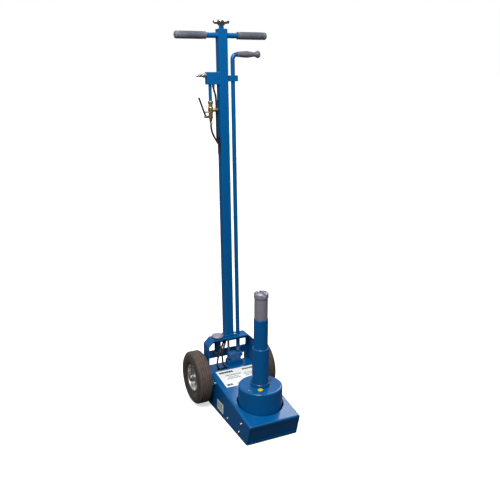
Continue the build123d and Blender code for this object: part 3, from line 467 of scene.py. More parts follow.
SADDLE_STEEL = CoatedSteel("phosphated_steel", "saddle_steel", "#A3A1B0", 0.46)
BLACK_STEEL = CoatedSteel(
    "black_oxide_steel", "black_steel", "#1A1A1B", 0.42, worn="#4A4A4C", metallic=0.3,
)
GRIP_RUBBER = MouldedPolymer("grey_grip_rubber", "grip_rubber", "#575B68", 0.56)
HOSE_RUBBER = MouldedPolymer(
    "black_hose_rubber", "hose_rubber", "#1C1715", 0.48, bloom="#3A302B", stipple=1.2 * MM,
)
SEAL_RUBBER = MouldedPolymer("black_seal_rubber", "seal_rubber", "#121212", 0.50, bloom="#2C2C2C")
PLUG_PLASTIC = MouldedPolymer(
    "yellow_moulded_plastic", "plug_plastic", "#D9C93C", 0.38, bloom="#B9A42A", sheen=0.0,
)
LABEL_FILM = MouldedPolymer(
    "white_label_film", "label_film", "#F3F4F2", 0.34, bloom="#E2E4E4", height=0.01 * MM, sheen=0.0,
)
LABEL_INK = MouldedPolymer(
    "dark_label_ink", "label_film", "#18222E", 0.42, bloom="#2A3846", height=0.01 * MM, sheen=0.0,
)
FAINT_INK = MouldedPolymer(
    "grey_label_ink", "label_film", "#7B7F86", 0.42, bloom="#8F9398", height=0.01 * MM, sheen=0.0,
)

NODE_FINISHES: dict[Finish, tuple[str, ...]] = {
    ENAMEL: (
        "base_plate", "chassis_cover", "front_plate", "rear_frame", "rear_panel", "reservoir_drum",
        "ram_stage_1",
        "ram_stage_2", "post_tube", "post_flange", "post_cap", "tee_bar", "guide_bracket", "manifold_block",
        "drop_tube", "control_rod", "valve_block", "ram_gland",
    ),
    GROUND_STEEL: (
        "cylinder_foot", "cylinder_barrel", "pressure_pipe", "axle", "axle_blocks", "spindle_rod",
        "air_piston",
        "pump_body",
    ),
    ZINC: (
        "frame_bolts", "axle_washers", "axle_nuts", "inlet_nipple", "rod_coupling", "lever_pin",
        "hose_ferrule",
        "valve_plunger",
    ),
    RIM_STEEL: ("rim_left", "rim_right"),
    ALUMINIUM: ("air_motor_body", "air_motor_cap"),
    BRASS: ("bleed_screw", "trigger_valve", "air_silencer"),
    BRONZE: ("hub_bush_left", "hub_bush_right"),
    CHROME: ("handwheel",),
    SADDLE_STEEL: ("ram_saddle", "adapter"),
    BLACK_STEEL: ("trigger_lever",),
    GRIP_RUBBER: ("grip_left", "grip_right", "crank_grip"),
    HOSE_RUBBER: ("supply_hose", "pilot_hose"),
    SEAL_RUBBER: ("gland_wiper", "stage_1_seal", "filler_washer", "hose_grommet", "tyre_left", "tyre_right"),
    PLUG_PLASTIC: ("filler_plug",),
    LABEL_FILM: ("labels",),
}


# Hand tools


def pick(piece: Piece | None) -> None:
    """Leave edit mode and select nothing but one piece.

    Args:
        piece: The piece, or None to select nothing at all.
    """
    if bpy.context.mode != "OBJECT":
        bpy.ops.object.mode_set(mode="OBJECT")
    bpy.ops.object.select_all(action="DESELECT")
    if piece is not None:
        piece.select_set(True)
        bpy.context.view_layer.objects.active = piece


def edit_all() -> None:
    """Enter edit mode in vertex mode with everything selected."""
    bpy.ops.object.mode_set(mode="EDIT")
    bpy.ops.mesh.select_mode(type="VERT")
    bpy.ops.mesh.select_all(action="SELECT")


def close_skin() -> None:
    """Turn all faces outwards and leave edit mode."""
    bpy.ops.mesh.select_all(action="SELECT")
    bpy.ops.mesh.normals_make_consistent(inside=False)
    bpy.ops.object.mode_set(mode="OBJECT")


def mark(piece: Piece, test: Callable[[Vector, Vector], bool], kind: str = "FACE") -> None:
    """Open a piece in edit mode with only some faces or vertices selected.

    Args:
        piece: The mesh object.
        test: Takes the place and the normal of each, and says whether it is wanted.
        kind: FACE or VERT.
    """
    pick(piece)
    bpy.ops.object.mode_set(mode="EDIT")
    bpy.ops.mesh.select_mode(type=kind)
    bpy.ops.mesh.select_all(action="DESELECT")
    bpy.ops.object.mode_set(mode="OBJECT")
    for item in piece.data.polygons if kind == "FACE" else piece.data.vertices:
        item.select = test(item.center if kind == "FACE" else item.co, item.normal)
    bpy.ops.object.mode_set(mode="EDIT")


def eased(points: Outline, radius: float, steps: int = 4, closed: bool = False) -> list[Point]:
    """Round the corners of an outline.

    Args:
        points: The outline's corners.
        radius: How far from each corner the rounding starts, at most.
        steps: Pieces in each rounded corner.
        closed: Whether the outline runs back to its start.

    Returns:
        The rounded outline. A closed one ends on its first point.
    """
    longest = 0.45
    places = [Vector(p) for p in points]
    count = len(places)
    made: list[Vector] = []
    for number, corner in enumerate(places):
        if not closed and number in (0, count - 1):
            made.append(corner)
            continue
        before, after = (place - corner for place in (places[number - 1], places[(number + 1) % count]))
        start = corner + before.normalized() * min(radius, before.length * longest)
        end = corner + after.normalized() * min(radius, after.length * longest)
        for step in range(steps + 1):
            t = step / steps
            made.append(start * (1 - t) ** 2 + corner * 2 * t * (1 - t) + end * t ** 2)
    if closed:
        made.append(made[0])
    return [(p.x, p.y) for p in made]


def flowing(points: Outline, steps: int = 6) -> list[Point]:
    """Run a smooth curve through the points of an outline.

    Args:
        points: Points that the curve passes through.
        steps: Pieces between two points.

    Returns:
        The points along the curve.
    """
    places = [Vector(p) for p in points]
    ends = [places[0] * 2 - places[1], *places, places[-1] * 2 - places[-2]]
    made = [places[0]]
    for a, b, c, d in zip(ends, ends[1:], ends[2:], ends[3:]):
        for step in range(1, steps + 1):
            t = step / steps
            bend = (a * 2 - b * 5 + c * 4 - d) * t ** 2 + (b * 3 - a - c * 3 + d) * t ** 3
            made.append((b * 2 + (c - a) * t + bend) / 2)
    return [(p.x, max(p.y, 0.0)) for p in made]


def turn(name: str, outline: Outline, steps: int = 72) -> Piece:
    """Turn an outline about Z, as on a lathe.

    Args:
        name: The new piece's name.
        outline: Radius and height of each point in millimetres. It ends on its first point or on
            the axis to close the skin.
        steps: Flats round the piece.

    Returns:
        The turned piece.
    """
    pick(None)
    radius, height = outline[0]
    bpy.ops.mesh.primitive_plane_add(size=MM, location=(radius * MM, 0.0, height * MM))
    piece = bpy.context.object
    piece.name = name
    edit_all()
    bpy.ops.mesh.merge(type="CENTER")
    for (r0, z0), (r1, z1) in zip(outline, outline[1:]):
        move = ((r1 - r0) * MM, 0.0, (z1 - z0) * MM)
        bpy.ops.mesh.extrude_vertices_move(TRANSFORM_OT_translate={"value": move})
    bpy.ops.mesh.select_all(action="SELECT")
    bpy.ops.mesh.spin(steps=steps, angle=math.tau, center=(0.0, 0.0, 0.0), axis=UP)
    bpy.ops.mesh.select_all(action="SELECT")
    bpy.ops.mesh.remove_doubles(threshold=0.01 * MM)
    close_skin()
    settle(piece, Matrix.Identity(4))
    return piece


def draw(name: str, points: Sequence[Vector], kind: str, **settings: object) -> Piece:
    """Draw a round curve along points.

    Args:
        name: The new piece's name.
        points: The curve's points.
        kind: The type of its spline.
        settings: Attributes of the curve.

    Returns:
        The curve object.
    """
    line = bpy.data.curves.new(name, "CURVE")
    line.dimensions = "3D"
    for key, value in settings.items():
        setattr(line, key, value)
    spline = line.splines.new(kind)
    spline.points.add(len(points) - 1)
    for point, place in zip(spline.points, points):
        point.co = (*place, 1.0)
    drawn = bpy.data.objects.new(name, line)
    bpy.context.scene.collection.objects.link(drawn)
    return drawn


def settle(piece: Piece, place: Matrix) -> None:
    """Put a piece in its place and bake that place into its mesh.

    Args:
        piece: The mesh object.
        place: Where it goes from where it is.
    """
    pick(piece)
    piece.matrix_world = place @ piece.matrix_world
    bpy.ops.object.transform_apply(location=True, rotation=True, scale=True)


def apply_modifier(piece: Piece, kind: str, **settings: object) -> None:
    """Add one modifier with its settings and apply it.

    Args:
        piece: The mesh object.
        kind: The modifier's type.
        settings: Attributes of the modifier.
    """
    pick(piece)
    modifier = piece.modifiers.new(kind.lower(), kind)
    for key, value in settings.items():
        setattr(modifier, key, value)
    bpy.ops.object.modifier_apply(modifier=modifier.name)


def move_to(x: float, y: float, z: float) -> Matrix:
    """The matrix of a move."""
    return Matrix.Translation((x, y, z))


def facing(centre: Vector, axis: Vector) -> Matrix:
    """The place of a piece drawn about Z whose Z is to run along an axis through a centre."""
    return Matrix.Translation(centre) @ axis.to_track_quat("Z", "Y").to_matrix().to_4x4()


def hand_over(
    piece: Piece, finish: Finish, body: Body, place: Matrix | None = None, stands_for: Sequence[str] = (),
    crease: float = 35.0,
) -> Piece:
    """Place a finished piece, give it its material and fix it to its body.

    Args:
        piece: The new mesh object.
        finish: Its surface.
        body: The CAD body that it rides on.
        place: Where it goes, if it was drawn at the origin.
        stands_for: CAD nodes that it replaces.
        crease: Angle in degrees above which an edge stays sharp.

    Returns:
        The piece.
    """
    if place is not None:
        settle(piece, place)
    pick(piece)
    bpy.ops.object.shade_smooth_by_angle(angle=math.radians(crease))
    piece.data.materials.clear()
    piece.data.materials.append(finish.material())
    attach(piece, body.value)
    if stands_for:
        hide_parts(*stands_for)
    LOG.info("%s: %d faces on %s", piece.name, len(piece.data.polygons), body.value)
    return piece


def middle(node: str) -> Vector:
    """The middle of a CAD node's box."""
    low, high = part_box(node)
    return (low + high) / 2


def extent(node: str) -> Vector:
    """The size of a CAD node's box."""
    low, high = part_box(node)
    return high - low


def joint(name: str) -> dict:
    """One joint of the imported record, by name."""
    return next(j for j in frame["joints"] if j["name"] == name)


# Sub-assemblies


@dataclass
class HandleAxes:
    """The leaning handle's own axes: the middle of its foot and the direction it leans in.

    Attributes:
        foot: The CAD node under the post.
        screw: The joint whose axis runs up the handle.
    """

    foot: str = "post_flange"
    screw: str = "handwheel_turn"

    def place(self) -> Matrix:
        """Find the handle's axes.

        Returns:
            The matrix from the handle's own axes to the jack's frame.
        """
        up = Vector(joint(self.screw)["axis"])
        low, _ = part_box(self.foot)
        base = Vector(joint(self.screw)["pos_m"])
        base -= up * ((base.z - low.z) / up.z)
        return Matrix.Translation(base) @ Matrix.Rotation(-math.atan2(up.y, up.z), 4, "X")


@dataclass
class Wheel:
    """One wheel: a solid tyre with a ribbed tread on a pressed steel rim. Sizes are millimetres.

    Attributes:
        side: Which end of the axle it is on.
        section: How far the tyre stands out from its bead.
        shoulder: Width beside the tread at each edge.
        crowning: How much lower the tread is at its edges.
        groove_width: Width of a tread groove at its mouth.
        groove_depth: Depth of a tread groove.
        grooves: Grooves across the tread.
        steps: Flats round the tyre.
        dish: The radii between which the rim's ribs are raised.
        rib: How high a rib is raised.
    """

    side: Side
    section: float = 57.0
    shoulder: float = 12.0
    crowning: float = 0.8
    groove_width: float = 4.2
    groove_depth: float = 4.0
    grooves: int = 4
    steps: int = 120
    dish: Point = (33.5, 44.0)
    rib: float = 1.3

    @property
    def body(self) -> Body:
        """The CAD body of this wheel."""
        return Body.WHEEL_LEFT if self.side is Side.LEFT else Body.WHEEL_RIGHT

    def place(self) -> Matrix:
        """Drawn with its outer face up, turned to lie on the axle."""
        return facing(middle(f"tyre_{self.side.word}"), self.side.outward)

    def tyre_outline(self, outer: float, half: float) -> list[Point]:
        """The tyre's section, from the inner bead round the tread and back.

        Args:
            outer: The tyre's radius.
            half: Half its width.

        Returns:
            The closed, rounded section as radius and height points.
        """
        bead = outer - self.section
        wall = eased([
            (bead, -19.0), (bead + 2.5, -22.0), (bead + 7.0, -22.5), (bead + 8.0, -half + 7.5),
            (bead + 14.0, -half + 3.4), (outer - 34.0, -half + 0.6), (outer - 30.0, -half + 0.4),
            (outer - 29.4, -half - 0.5), (outer - 26.6, -half - 0.5), (outer - 26.0, -half + 0.4),
            (outer - 16.0, -half + 1.0), (outer - 9.0, -half + 4.0), (outer - 3.2, -half + 9.0),
            (outer - 0.8, -half + 12.6),
        ], 1.6, 3)
        tread: list[Point] = []
        pitch = 2 * (half - self.shoulder) / self.grooves
        mouth, floor = self.groove_width * 0.5, self.groove_width * 0.28
        for number in range(self.grooves):
            z = -half + self.shoulder + pitch * (number + 0.5)
            crown = outer - abs(z / half) ** 2 * self.crowning
            bottom = crown - self.groove_depth
            tread += [(crown, z - mouth), (bottom, z - floor), (bottom, z + floor), (crown, z + mouth)]
        return [*wall, *eased(tread, 0.5, 2), *((r, -z) for r, z in reversed(wall)), wall[0]]

    def build_tyre(self) -> None:
        """Turn the tyre."""
        node = f"tyre_{self.side.word}"
        size, axle = extent(node) / MM, middle(node)
        rubber = TyreRubber(
            f"vulcanised_rubber_{self.side.word}", "tyre_rubber", "#1D1917", 0.66, centre=(axle.y, axle.z),
        )
        outline = self.tyre_outline(size.z / 2, size.x / 2 - 0.5)
        tyre = turn(f"ribbed_tyre_{self.side.word}", outline, self.steps)
        hand_over(tyre, rubber, self.body, self.place(), [node], crease=50.0)

    def build_rim(self) -> None:
        """Turn the pressed rim with its rolled edge, dish and hub tube."""
        section = [
            (54.4, -19.0), (57.0, -19.0), (57.0, 18.6), (59.4, 22.0), (59.0, 24.0), (56.8, 24.2),
            (54.4, 20.5),
            (53.8, 8.4), (50.0, 5.0), (44.0, 4.6), (39.0, 8.8), (33.0, 12.6), (26.0, 12.2), (22.0, 14.6),
            (17.2, 15.2), (17.0, 20.6), (16.2, 21.0), (13.0, 21.0), (13.0, -33.0), (17.0, -33.0),
            (17.0, 12.2),
            (26.0, 9.8), (33.0, 9.8), (39.0, 6.0), (44.0, 2.0), (54.4, 2.4),
        ]
        rim = turn(f"pressed_rim_{self.side.word}", eased(section, 1.4, 3, closed=True), 96)
        self.raise_ribs(rim)
        hand_over(rim, RIM_STEEL, self.body, self.place(), [f"rim_{self.side.word}"], crease=40.0)

    def raise_ribs(self, rim: Piece) -> None:
        """Raise six short ribs on the dish, so that it reads as a pressing.

        Args:
            rim: The turned rim.
        """
        inner, outer = (radius * MM for radius in self.dish)

        def on_rib(place: Vector, normal: Vector) -> bool:
            """Whether a face on the dish is within a rib."""
            off_rib = abs(math.degrees(math.atan2(place.y, place.x)) % 60.0 - 30.0)
            return inner < place.xy.length < outer and normal.z > 0.3 and off_rib < 9.5

        mark(rim, on_rib)
        bpy.ops.mesh.inset(thickness=0.8 * MM, depth=0.0)
        bpy.ops.transform.translate(value=UP * self.rib * MM)
        bpy.ops.object.mode_set(mode="OBJECT")

    def build(self) -> None:
        """Build the tyre and the rim."""
        self.build_tyre()
        self.build_rim()


@dataclass
class Labels:
    """The data label on the cover's slope and the small label on the left side.

    Attributes:
        slope: The cover's slope.
        lip: The y and z of the cover's front edge.
        middle_y: The y of the data label's middle.
        data_size: The data label's width and length in millimetres.
        side_size: The side label's length and height in millimetres.
        film: Thickness of the label film.
        ink: Height of the print above the film.
        sunk: How deep the side label's film lies in the frame's wall.
    """

    slope: float = math.radians(8.2)
    lip: Point = (-135.0 * MM, 93.0 * MM)
    middle_y: float = 190.0 * MM
    data_size: Point = (178.0, 120.0)
    side_size: Point = (63.0, 43.0)
    film: float = 0.35 * MM
    ink: float = 0.06 * MM
    sunk: float = 0.4 * MM

    def slope_place(self) -> Matrix:
        """The place of something drawn flat in XY that lies on the cover."""
        z = self.lip[1] + (self.middle_y - self.lip[0]) * math.tan(self.slope)
        return move_to(0.0, self.middle_y, z) @ Matrix.Rotation(self.slope, 4, "X")

    def side_place(self) -> Matrix:
        """Find where the side label goes.

        Returns:
            The place of something drawn flat in XY that lies on the left side.
        """
        low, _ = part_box("labels")
        length, height = (size * MM for size in self.side_size)
        turned = Matrix(((0.0, 0.0, -1.0), (-1.0, 0.0, 0.0), (0.0, 1.0, 0.0))).to_4x4()
        return move_to(low.x + self.sunk, low.y + length / 2, low.z + height / 2) @ turned

    @staticmethod
    def plate(
        centre: Place, size: Point, corner: float, segments: int, thick: float,
    ) -> Piece:
        """A thin plate with rounded corners, drawn flat.

        Args:
            centre: The middle of its lower face.
            size: Width and length in millimetres.
            corner: How far the corners are cut back.
            segments: Pieces in each rounded corner.
            thick: Its thickness.

        Returns:
            The plate.
        """
        pick(None)
        bpy.ops.mesh.primitive_plane_add(size=MM, location=centre)
        edit_all()
        bpy.ops.transform.resize(value=(*size, 1.0), center_override=centre)
        bpy.ops.mesh.bevel(offset=corner, segments=segments, affect="VERTICES")
        bpy.ops.mesh.select_all(action="SELECT")
        bpy.ops.mesh.extrude_region_move(TRANSFORM_OT_translate={"value": UP * thick})
        close_skin()
        return bpy.context.object

    def sticker(self, name: str, size: Point) -> Piece:
        """The film of a label.

        Args:
            name: The piece's name.
            size: Width and length in millimetres.

        Returns:
            The film.
        """
        piece = self.plate((0.0, 0.0, 0.0), size, 2.5 * MM, 4, self.film)
        piece.name = name
        return piece

    def print_bars(self, name: str, bars: Sequence[Four]) -> Piece:
        """Plain printed bars that stand for lines of print, drawn flat in XY.

        Args:
            name: The piece's name.
            bars: Left, bottom, width and height of each bar in millimetres.

        Returns:
            All bars as one piece.
        """
        made = [
            self.plate(
                ((left + width / 2) * MM, (bottom + height / 2) * MM, self.film), (width, height),
                min(width, height) * 0.2 * MM, 2, self.ink,
            )
            for left, bottom, width, height in bars
        ]
        pick(made[0])
        for piece in made:
            piece.select_set(True)
        bpy.ops.object.join()
        whole = bpy.context.object
        whole.name = name
        settle(whole, Matrix.Identity(4))
        return whole

    @staticmethod
    def words(
        left: float, bottom: float, height: float, widths: Sequence[float], gap: float = 1.8,
    ) -> list[Four]:
        """A row of bars of different widths, as a line of print looks from afar.

        Args:
            left: Where the row starts.
            bottom: The row's lower edge.
            height: The row's height.
            widths: The width of each bar.
            gap: The space between bars.

        Returns:
            One entry for each bar.
        """
        row = []
        for width in widths:
            row.append((left, bottom, width, height))
            left += width + gap
        return row

    def build(self) -> None:
        """Lay both films and their print."""
        film = self.sticker("data_label", self.data_size)
        hand_over(film, LABEL_FILM, Body.CHASSIS, self.slope_place(), ["labels"])
        dark = [
            *self.words(-79.0, 38.0, 12.0, (9.0, 11.0, 8.0, 10.0, 9.0, 8.0), 1.6),
            *self.words(28.0, 39.0, 9.0, (11.0, 8.0, 9.0, 7.0, 10.0), 1.4),
            *self.words(-80.0, -50.0, 11.0, (14.0, 10.0), 1.5),
            *self.words(40.0, -50.0, 7.0, (12.0, 16.0), 2.0),
        ]
        hand_over(self.print_bars("data_label_print", dark), LABEL_INK, Body.CHASSIS, self.slope_place())
        faint = [
            *self.words(-62.0, 16.5, 6.0, (4.0, 15.0, 10.0, 13.0, 9.0, 14.0)),
            *self.words(-52.0, 5.0, 4.0, (12.0, 8.0, 15.0, 9.0)),
            *self.words(-62.0, -6.5, 5.0, (10.0, 14.0, 8.0, 12.0, 11.0)),
            *self.words(-34.0, -47.0, 5.0, (8.0, 5.0, 9.0)),
            *self.words(24.0, 14.0, 4.0, (14.0, 9.0, 16.0)),
            *self.words(24.0, 4.0, 4.0, (10.0, 15.0, 12.0)),
            *self.words(24.0, -6.0, 4.0, (16.0, 8.0, 14.0)),
        ]
        fine = self.print_bars("data_label_fine_print", faint)
        hand_over(fine, FAINT_INK, Body.CHASSIS, self.slope_place())
        small = self.sticker("side_label", self.side_size)
        hand_over(small, LABEL_FILM, Body.CHASSIS, self.side_place())
        heights = (11.0, 5.5, 0.0, -5.5, -11.0)
        rows = [bar for z in heights for bar in self.words(-25.0, z, 2.2, (14.0, 9.0, 17.0), 1.6)]
        hand_over(self.print_bars("side_label_print", rows), FAINT_INK, Body.CHASSIS, self.side_place())


@dataclass
class Chassis:
    """The weld beads, the stored adapter and the filler plug.

    Attributes:
        handle: The handle's own axes.
        post_half: Half the post's width.
        ripple: Spacing of the points along a weld bead, a third of a ripple.
        tee_radius: Radius of the tee bar.
    """

    handle: Matrix
    post_half: float = 19.0 * MM
    ripple: float = 1.1 * MM
    tee_radius: float = 10.6 * MM

    def weld(self, name: str, corners: Sequence[Vector], radius: float) -> None:
        """A closed weld bead along a path, with the ripples that a welder leaves.

        Args:
            name: The piece's name.
            corners: Corners of the bead's middle line, in order.
            radius: The bead's radius.
        """
        pick(None)
        steps: list[Vector] = []
        for start, end in zip(corners, [*corners[1:], corners[0]]):
            count = max(1, round((end - start).length / self.ripple))
            steps += [start.lerp(end, number / count) for number in range(count)]
        bead = draw(name, steps, "POLY", bevel_depth=radius, bevel_resolution=3)
        spline = bead.data.splines[0]
        for number, point in enumerate(spline.points):
            point.radius = 1.0 + 0.16 * math.sin(number * math.tau / 3.0) + 0.08 * math.sin(number * 0.37)
        spline.use_cyclic_u = True
        pick(bead)
        bpy.ops.object.convert(target="MESH")
        hand_over(bpy.context.object, ENAMEL, Body.CHASSIS, crease=80.0)

    def build_welds(self) -> None:
        """Beads at the post's foot, the two brackets on it and the tee bar."""
        half = self.post_half
        signs = ((-1, -1), (1, -1), (1, 1), (-1, 1))
        rise = extent("post_flange").z + 0.8 * MM
        self.weld("foot_weld", [self.handle @ Vector((x * half, y * half, rise)) for x, y in signs], 2.4 * MM)
        for name, node, side in (
            ("manifold_weld", "manifold_block", Side.LEFT), ("bracket_weld", "guide_bracket", Side.RIGHT),
        ):
            size = extent(node)
            z = (self.handle.inverted() @ middle(node)).z
            x = side.value * (half + 0.5 * MM)
            deep, tall = size.y / 2 - 1.2 * MM, size.z / 2 - 0.2 * MM
            self.weld(name, [self.handle @ Vector((x, a * deep, z + b * tall)) for a, b in signs], 1.7 * MM)
        z = (self.handle.inverted() @ middle("tee_bar")).z
        turns = [math.tau * number / 16 for number in range(16)]
        circle = [(math.cos(a), math.sin(a)) for a in turns]
        for side in Side:
            x = side.value * (half + 0.4 * MM)
            ring = [self.handle @ Vector((x, a * self.tee_radius, z + b * self.tee_radius)) for a, b in circle]
            self.weld(f"tee_weld_{side.word}", ring, 1.6 * MM)

    def build_adapter(self) -> None:
        """The stored adapter: a domed cap on an enamelled stem whose darker blue is painted shade."""
        low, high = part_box("adapter")
        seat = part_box("post_flange")[0].z
        top, bottom = (high.z - seat) / MM, (low.z - seat) / MM
        cap = [
            (0.0, 0.0), (22.0, 0.0), (26.6, 5.6), (27.0, 8.2), (24.6, 11.6), (16.0, 14.4),
            (8.0, top - 0.2), (0.0, top),
        ]
        stem = [
            (0.0, bottom), (12.4, bottom), (14.0, bottom + 1.8), (14.0, -12.0), (13.3, -11.0), (13.3, -9.0),
            (14.0, -8.0), (14.0, 0.0), (0.0, 0.0),
        ]
        centre = (low + high) / 2
        place = move_to(centre.x, centre.y, seat)
        hand_over(turn("adapter_cap", eased(cap, 2.0, 4), 64), SADDLE_STEEL, Body.ADAPTER, place, ["adapter"])
        # The stem gets the darker copy of the blue enamel: painted shade.
        hand_over(turn("adapter_stem", eased(stem, 0.6, 2), 64), SHADED_ENAMEL, Body.ADAPTER, place)

    def build_plug(self) -> None:
        """The yellow filler plug with a milled rim and a centre boss."""
        centre, radius = middle("filler_plug"), extent("filler_plug").x / 2 / MM
        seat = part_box("filler_washer")[1].z
        head = [
            (0.0, -6.0), (8.4, -6.0), (8.4, 0.0), (radius, 0.0), (radius, 4.2), (radius - 1.4, 5.0),
            (5.6, 5.0),
            (5.0, 3.6), (3.4, 3.6), (2.8, 5.2), (0.0, 5.4),
        ]
        plug = turn("filler_plug_head", eased(head, 0.5, 2), 72)

        def in_notch(place: Vector, normal: Vector) -> bool:
            """Whether a face of the rim's side is every third one, which is milled."""
            flat = round(math.degrees(math.atan2(place.y, place.x)) / 5.0 - 0.5)
            on_side = 0.5 < place.z / MM < 4.0 and abs(normal.z) < 0.2 and place.xy.length > radius * 0.9 * MM
            return on_side and flat % 3 == 0

        mark(plug, in_notch)
        bpy.ops.mesh.extrude_region_shrink_fatten(TRANSFORM_OT_shrink_fatten={"value": -0.7 * MM})
        bpy.ops.object.mode_set(mode="OBJECT")
        hand_over(plug, PLUG_PLASTIC, Body.CHASSIS, move_to(centre.x, centre.y, seat), ["filler_plug"])

    def build(self) -> None:
        """Build the welds, the adapter and the plug."""
        self.build_welds()
        self.build_adapter()
        self.build_plug()


@dataclass
class Ram:
    """The saddle on the ram: a swivel head with a milled cross groove. Sizes are millimetres.

    Attributes:
        length: Length of the saddle above the ram.
        shank: Radius of the shank in the ram's socket.
        neck: Radius below the head.
        head: Radius of the head.
        groove: Width of the cross groove.
        depth: Depth of the cross groove.
    """

    length: float = 109.0
    shank: float = 14.0
    neck: float = 26.5
    head: float = 29.0
    groove: float = 11.0
    depth: float = 10.0

    def build(self) -> None:
        """Turn the head and mill its grooves."""
        bottom, top = (corner.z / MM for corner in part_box("ram_saddle"))
        seat = top - self.length
        outline = [
            (0.0, bottom), (self.shank - 0.8, bottom), (self.shank, bottom + 0.8), (self.shank, seat),
            (self.neck - 0.8, seat), (self.neck, seat + 0.8), (self.neck, top - 25.0),
            (self.neck + 0.5, top - 23.0),
            (self.head, top - 20.4), (self.head, top - 4.2), (self.head - 4.2, top), (0.0, top),
        ]
        saddle = turn("swivel_saddle", eased(outline, 0.9, 3), 96)
        centre = (0.0, 0.0, top * MM)
        through = 80.0
        for size in ((through, self.groove), (self.groove, through)):
            pick(None)
            bpy.ops.mesh.primitive_cube_add(size=MM, location=centre)
            cutter = bpy.context.object
            bpy.ops.object.mode_set(mode="EDIT")
            bpy.ops.transform.resize(value=(*size, 2 * self.depth), center_override=centre)
            bpy.ops.mesh.bevel(offset=0.8 * MM, segments=2, affect="EDGES")
            bpy.ops.object.mode_set(mode="OBJECT")
            apply_modifier(saddle, "BOOLEAN", operation="DIFFERENCE", solver="EXACT", object=cutter)
            bpy.data.objects.remove(cutter)
        hand_over(saddle, SADDLE_STEEL, Body.SADDLE, stands_for=["ram_saddle"], crease=30.0)


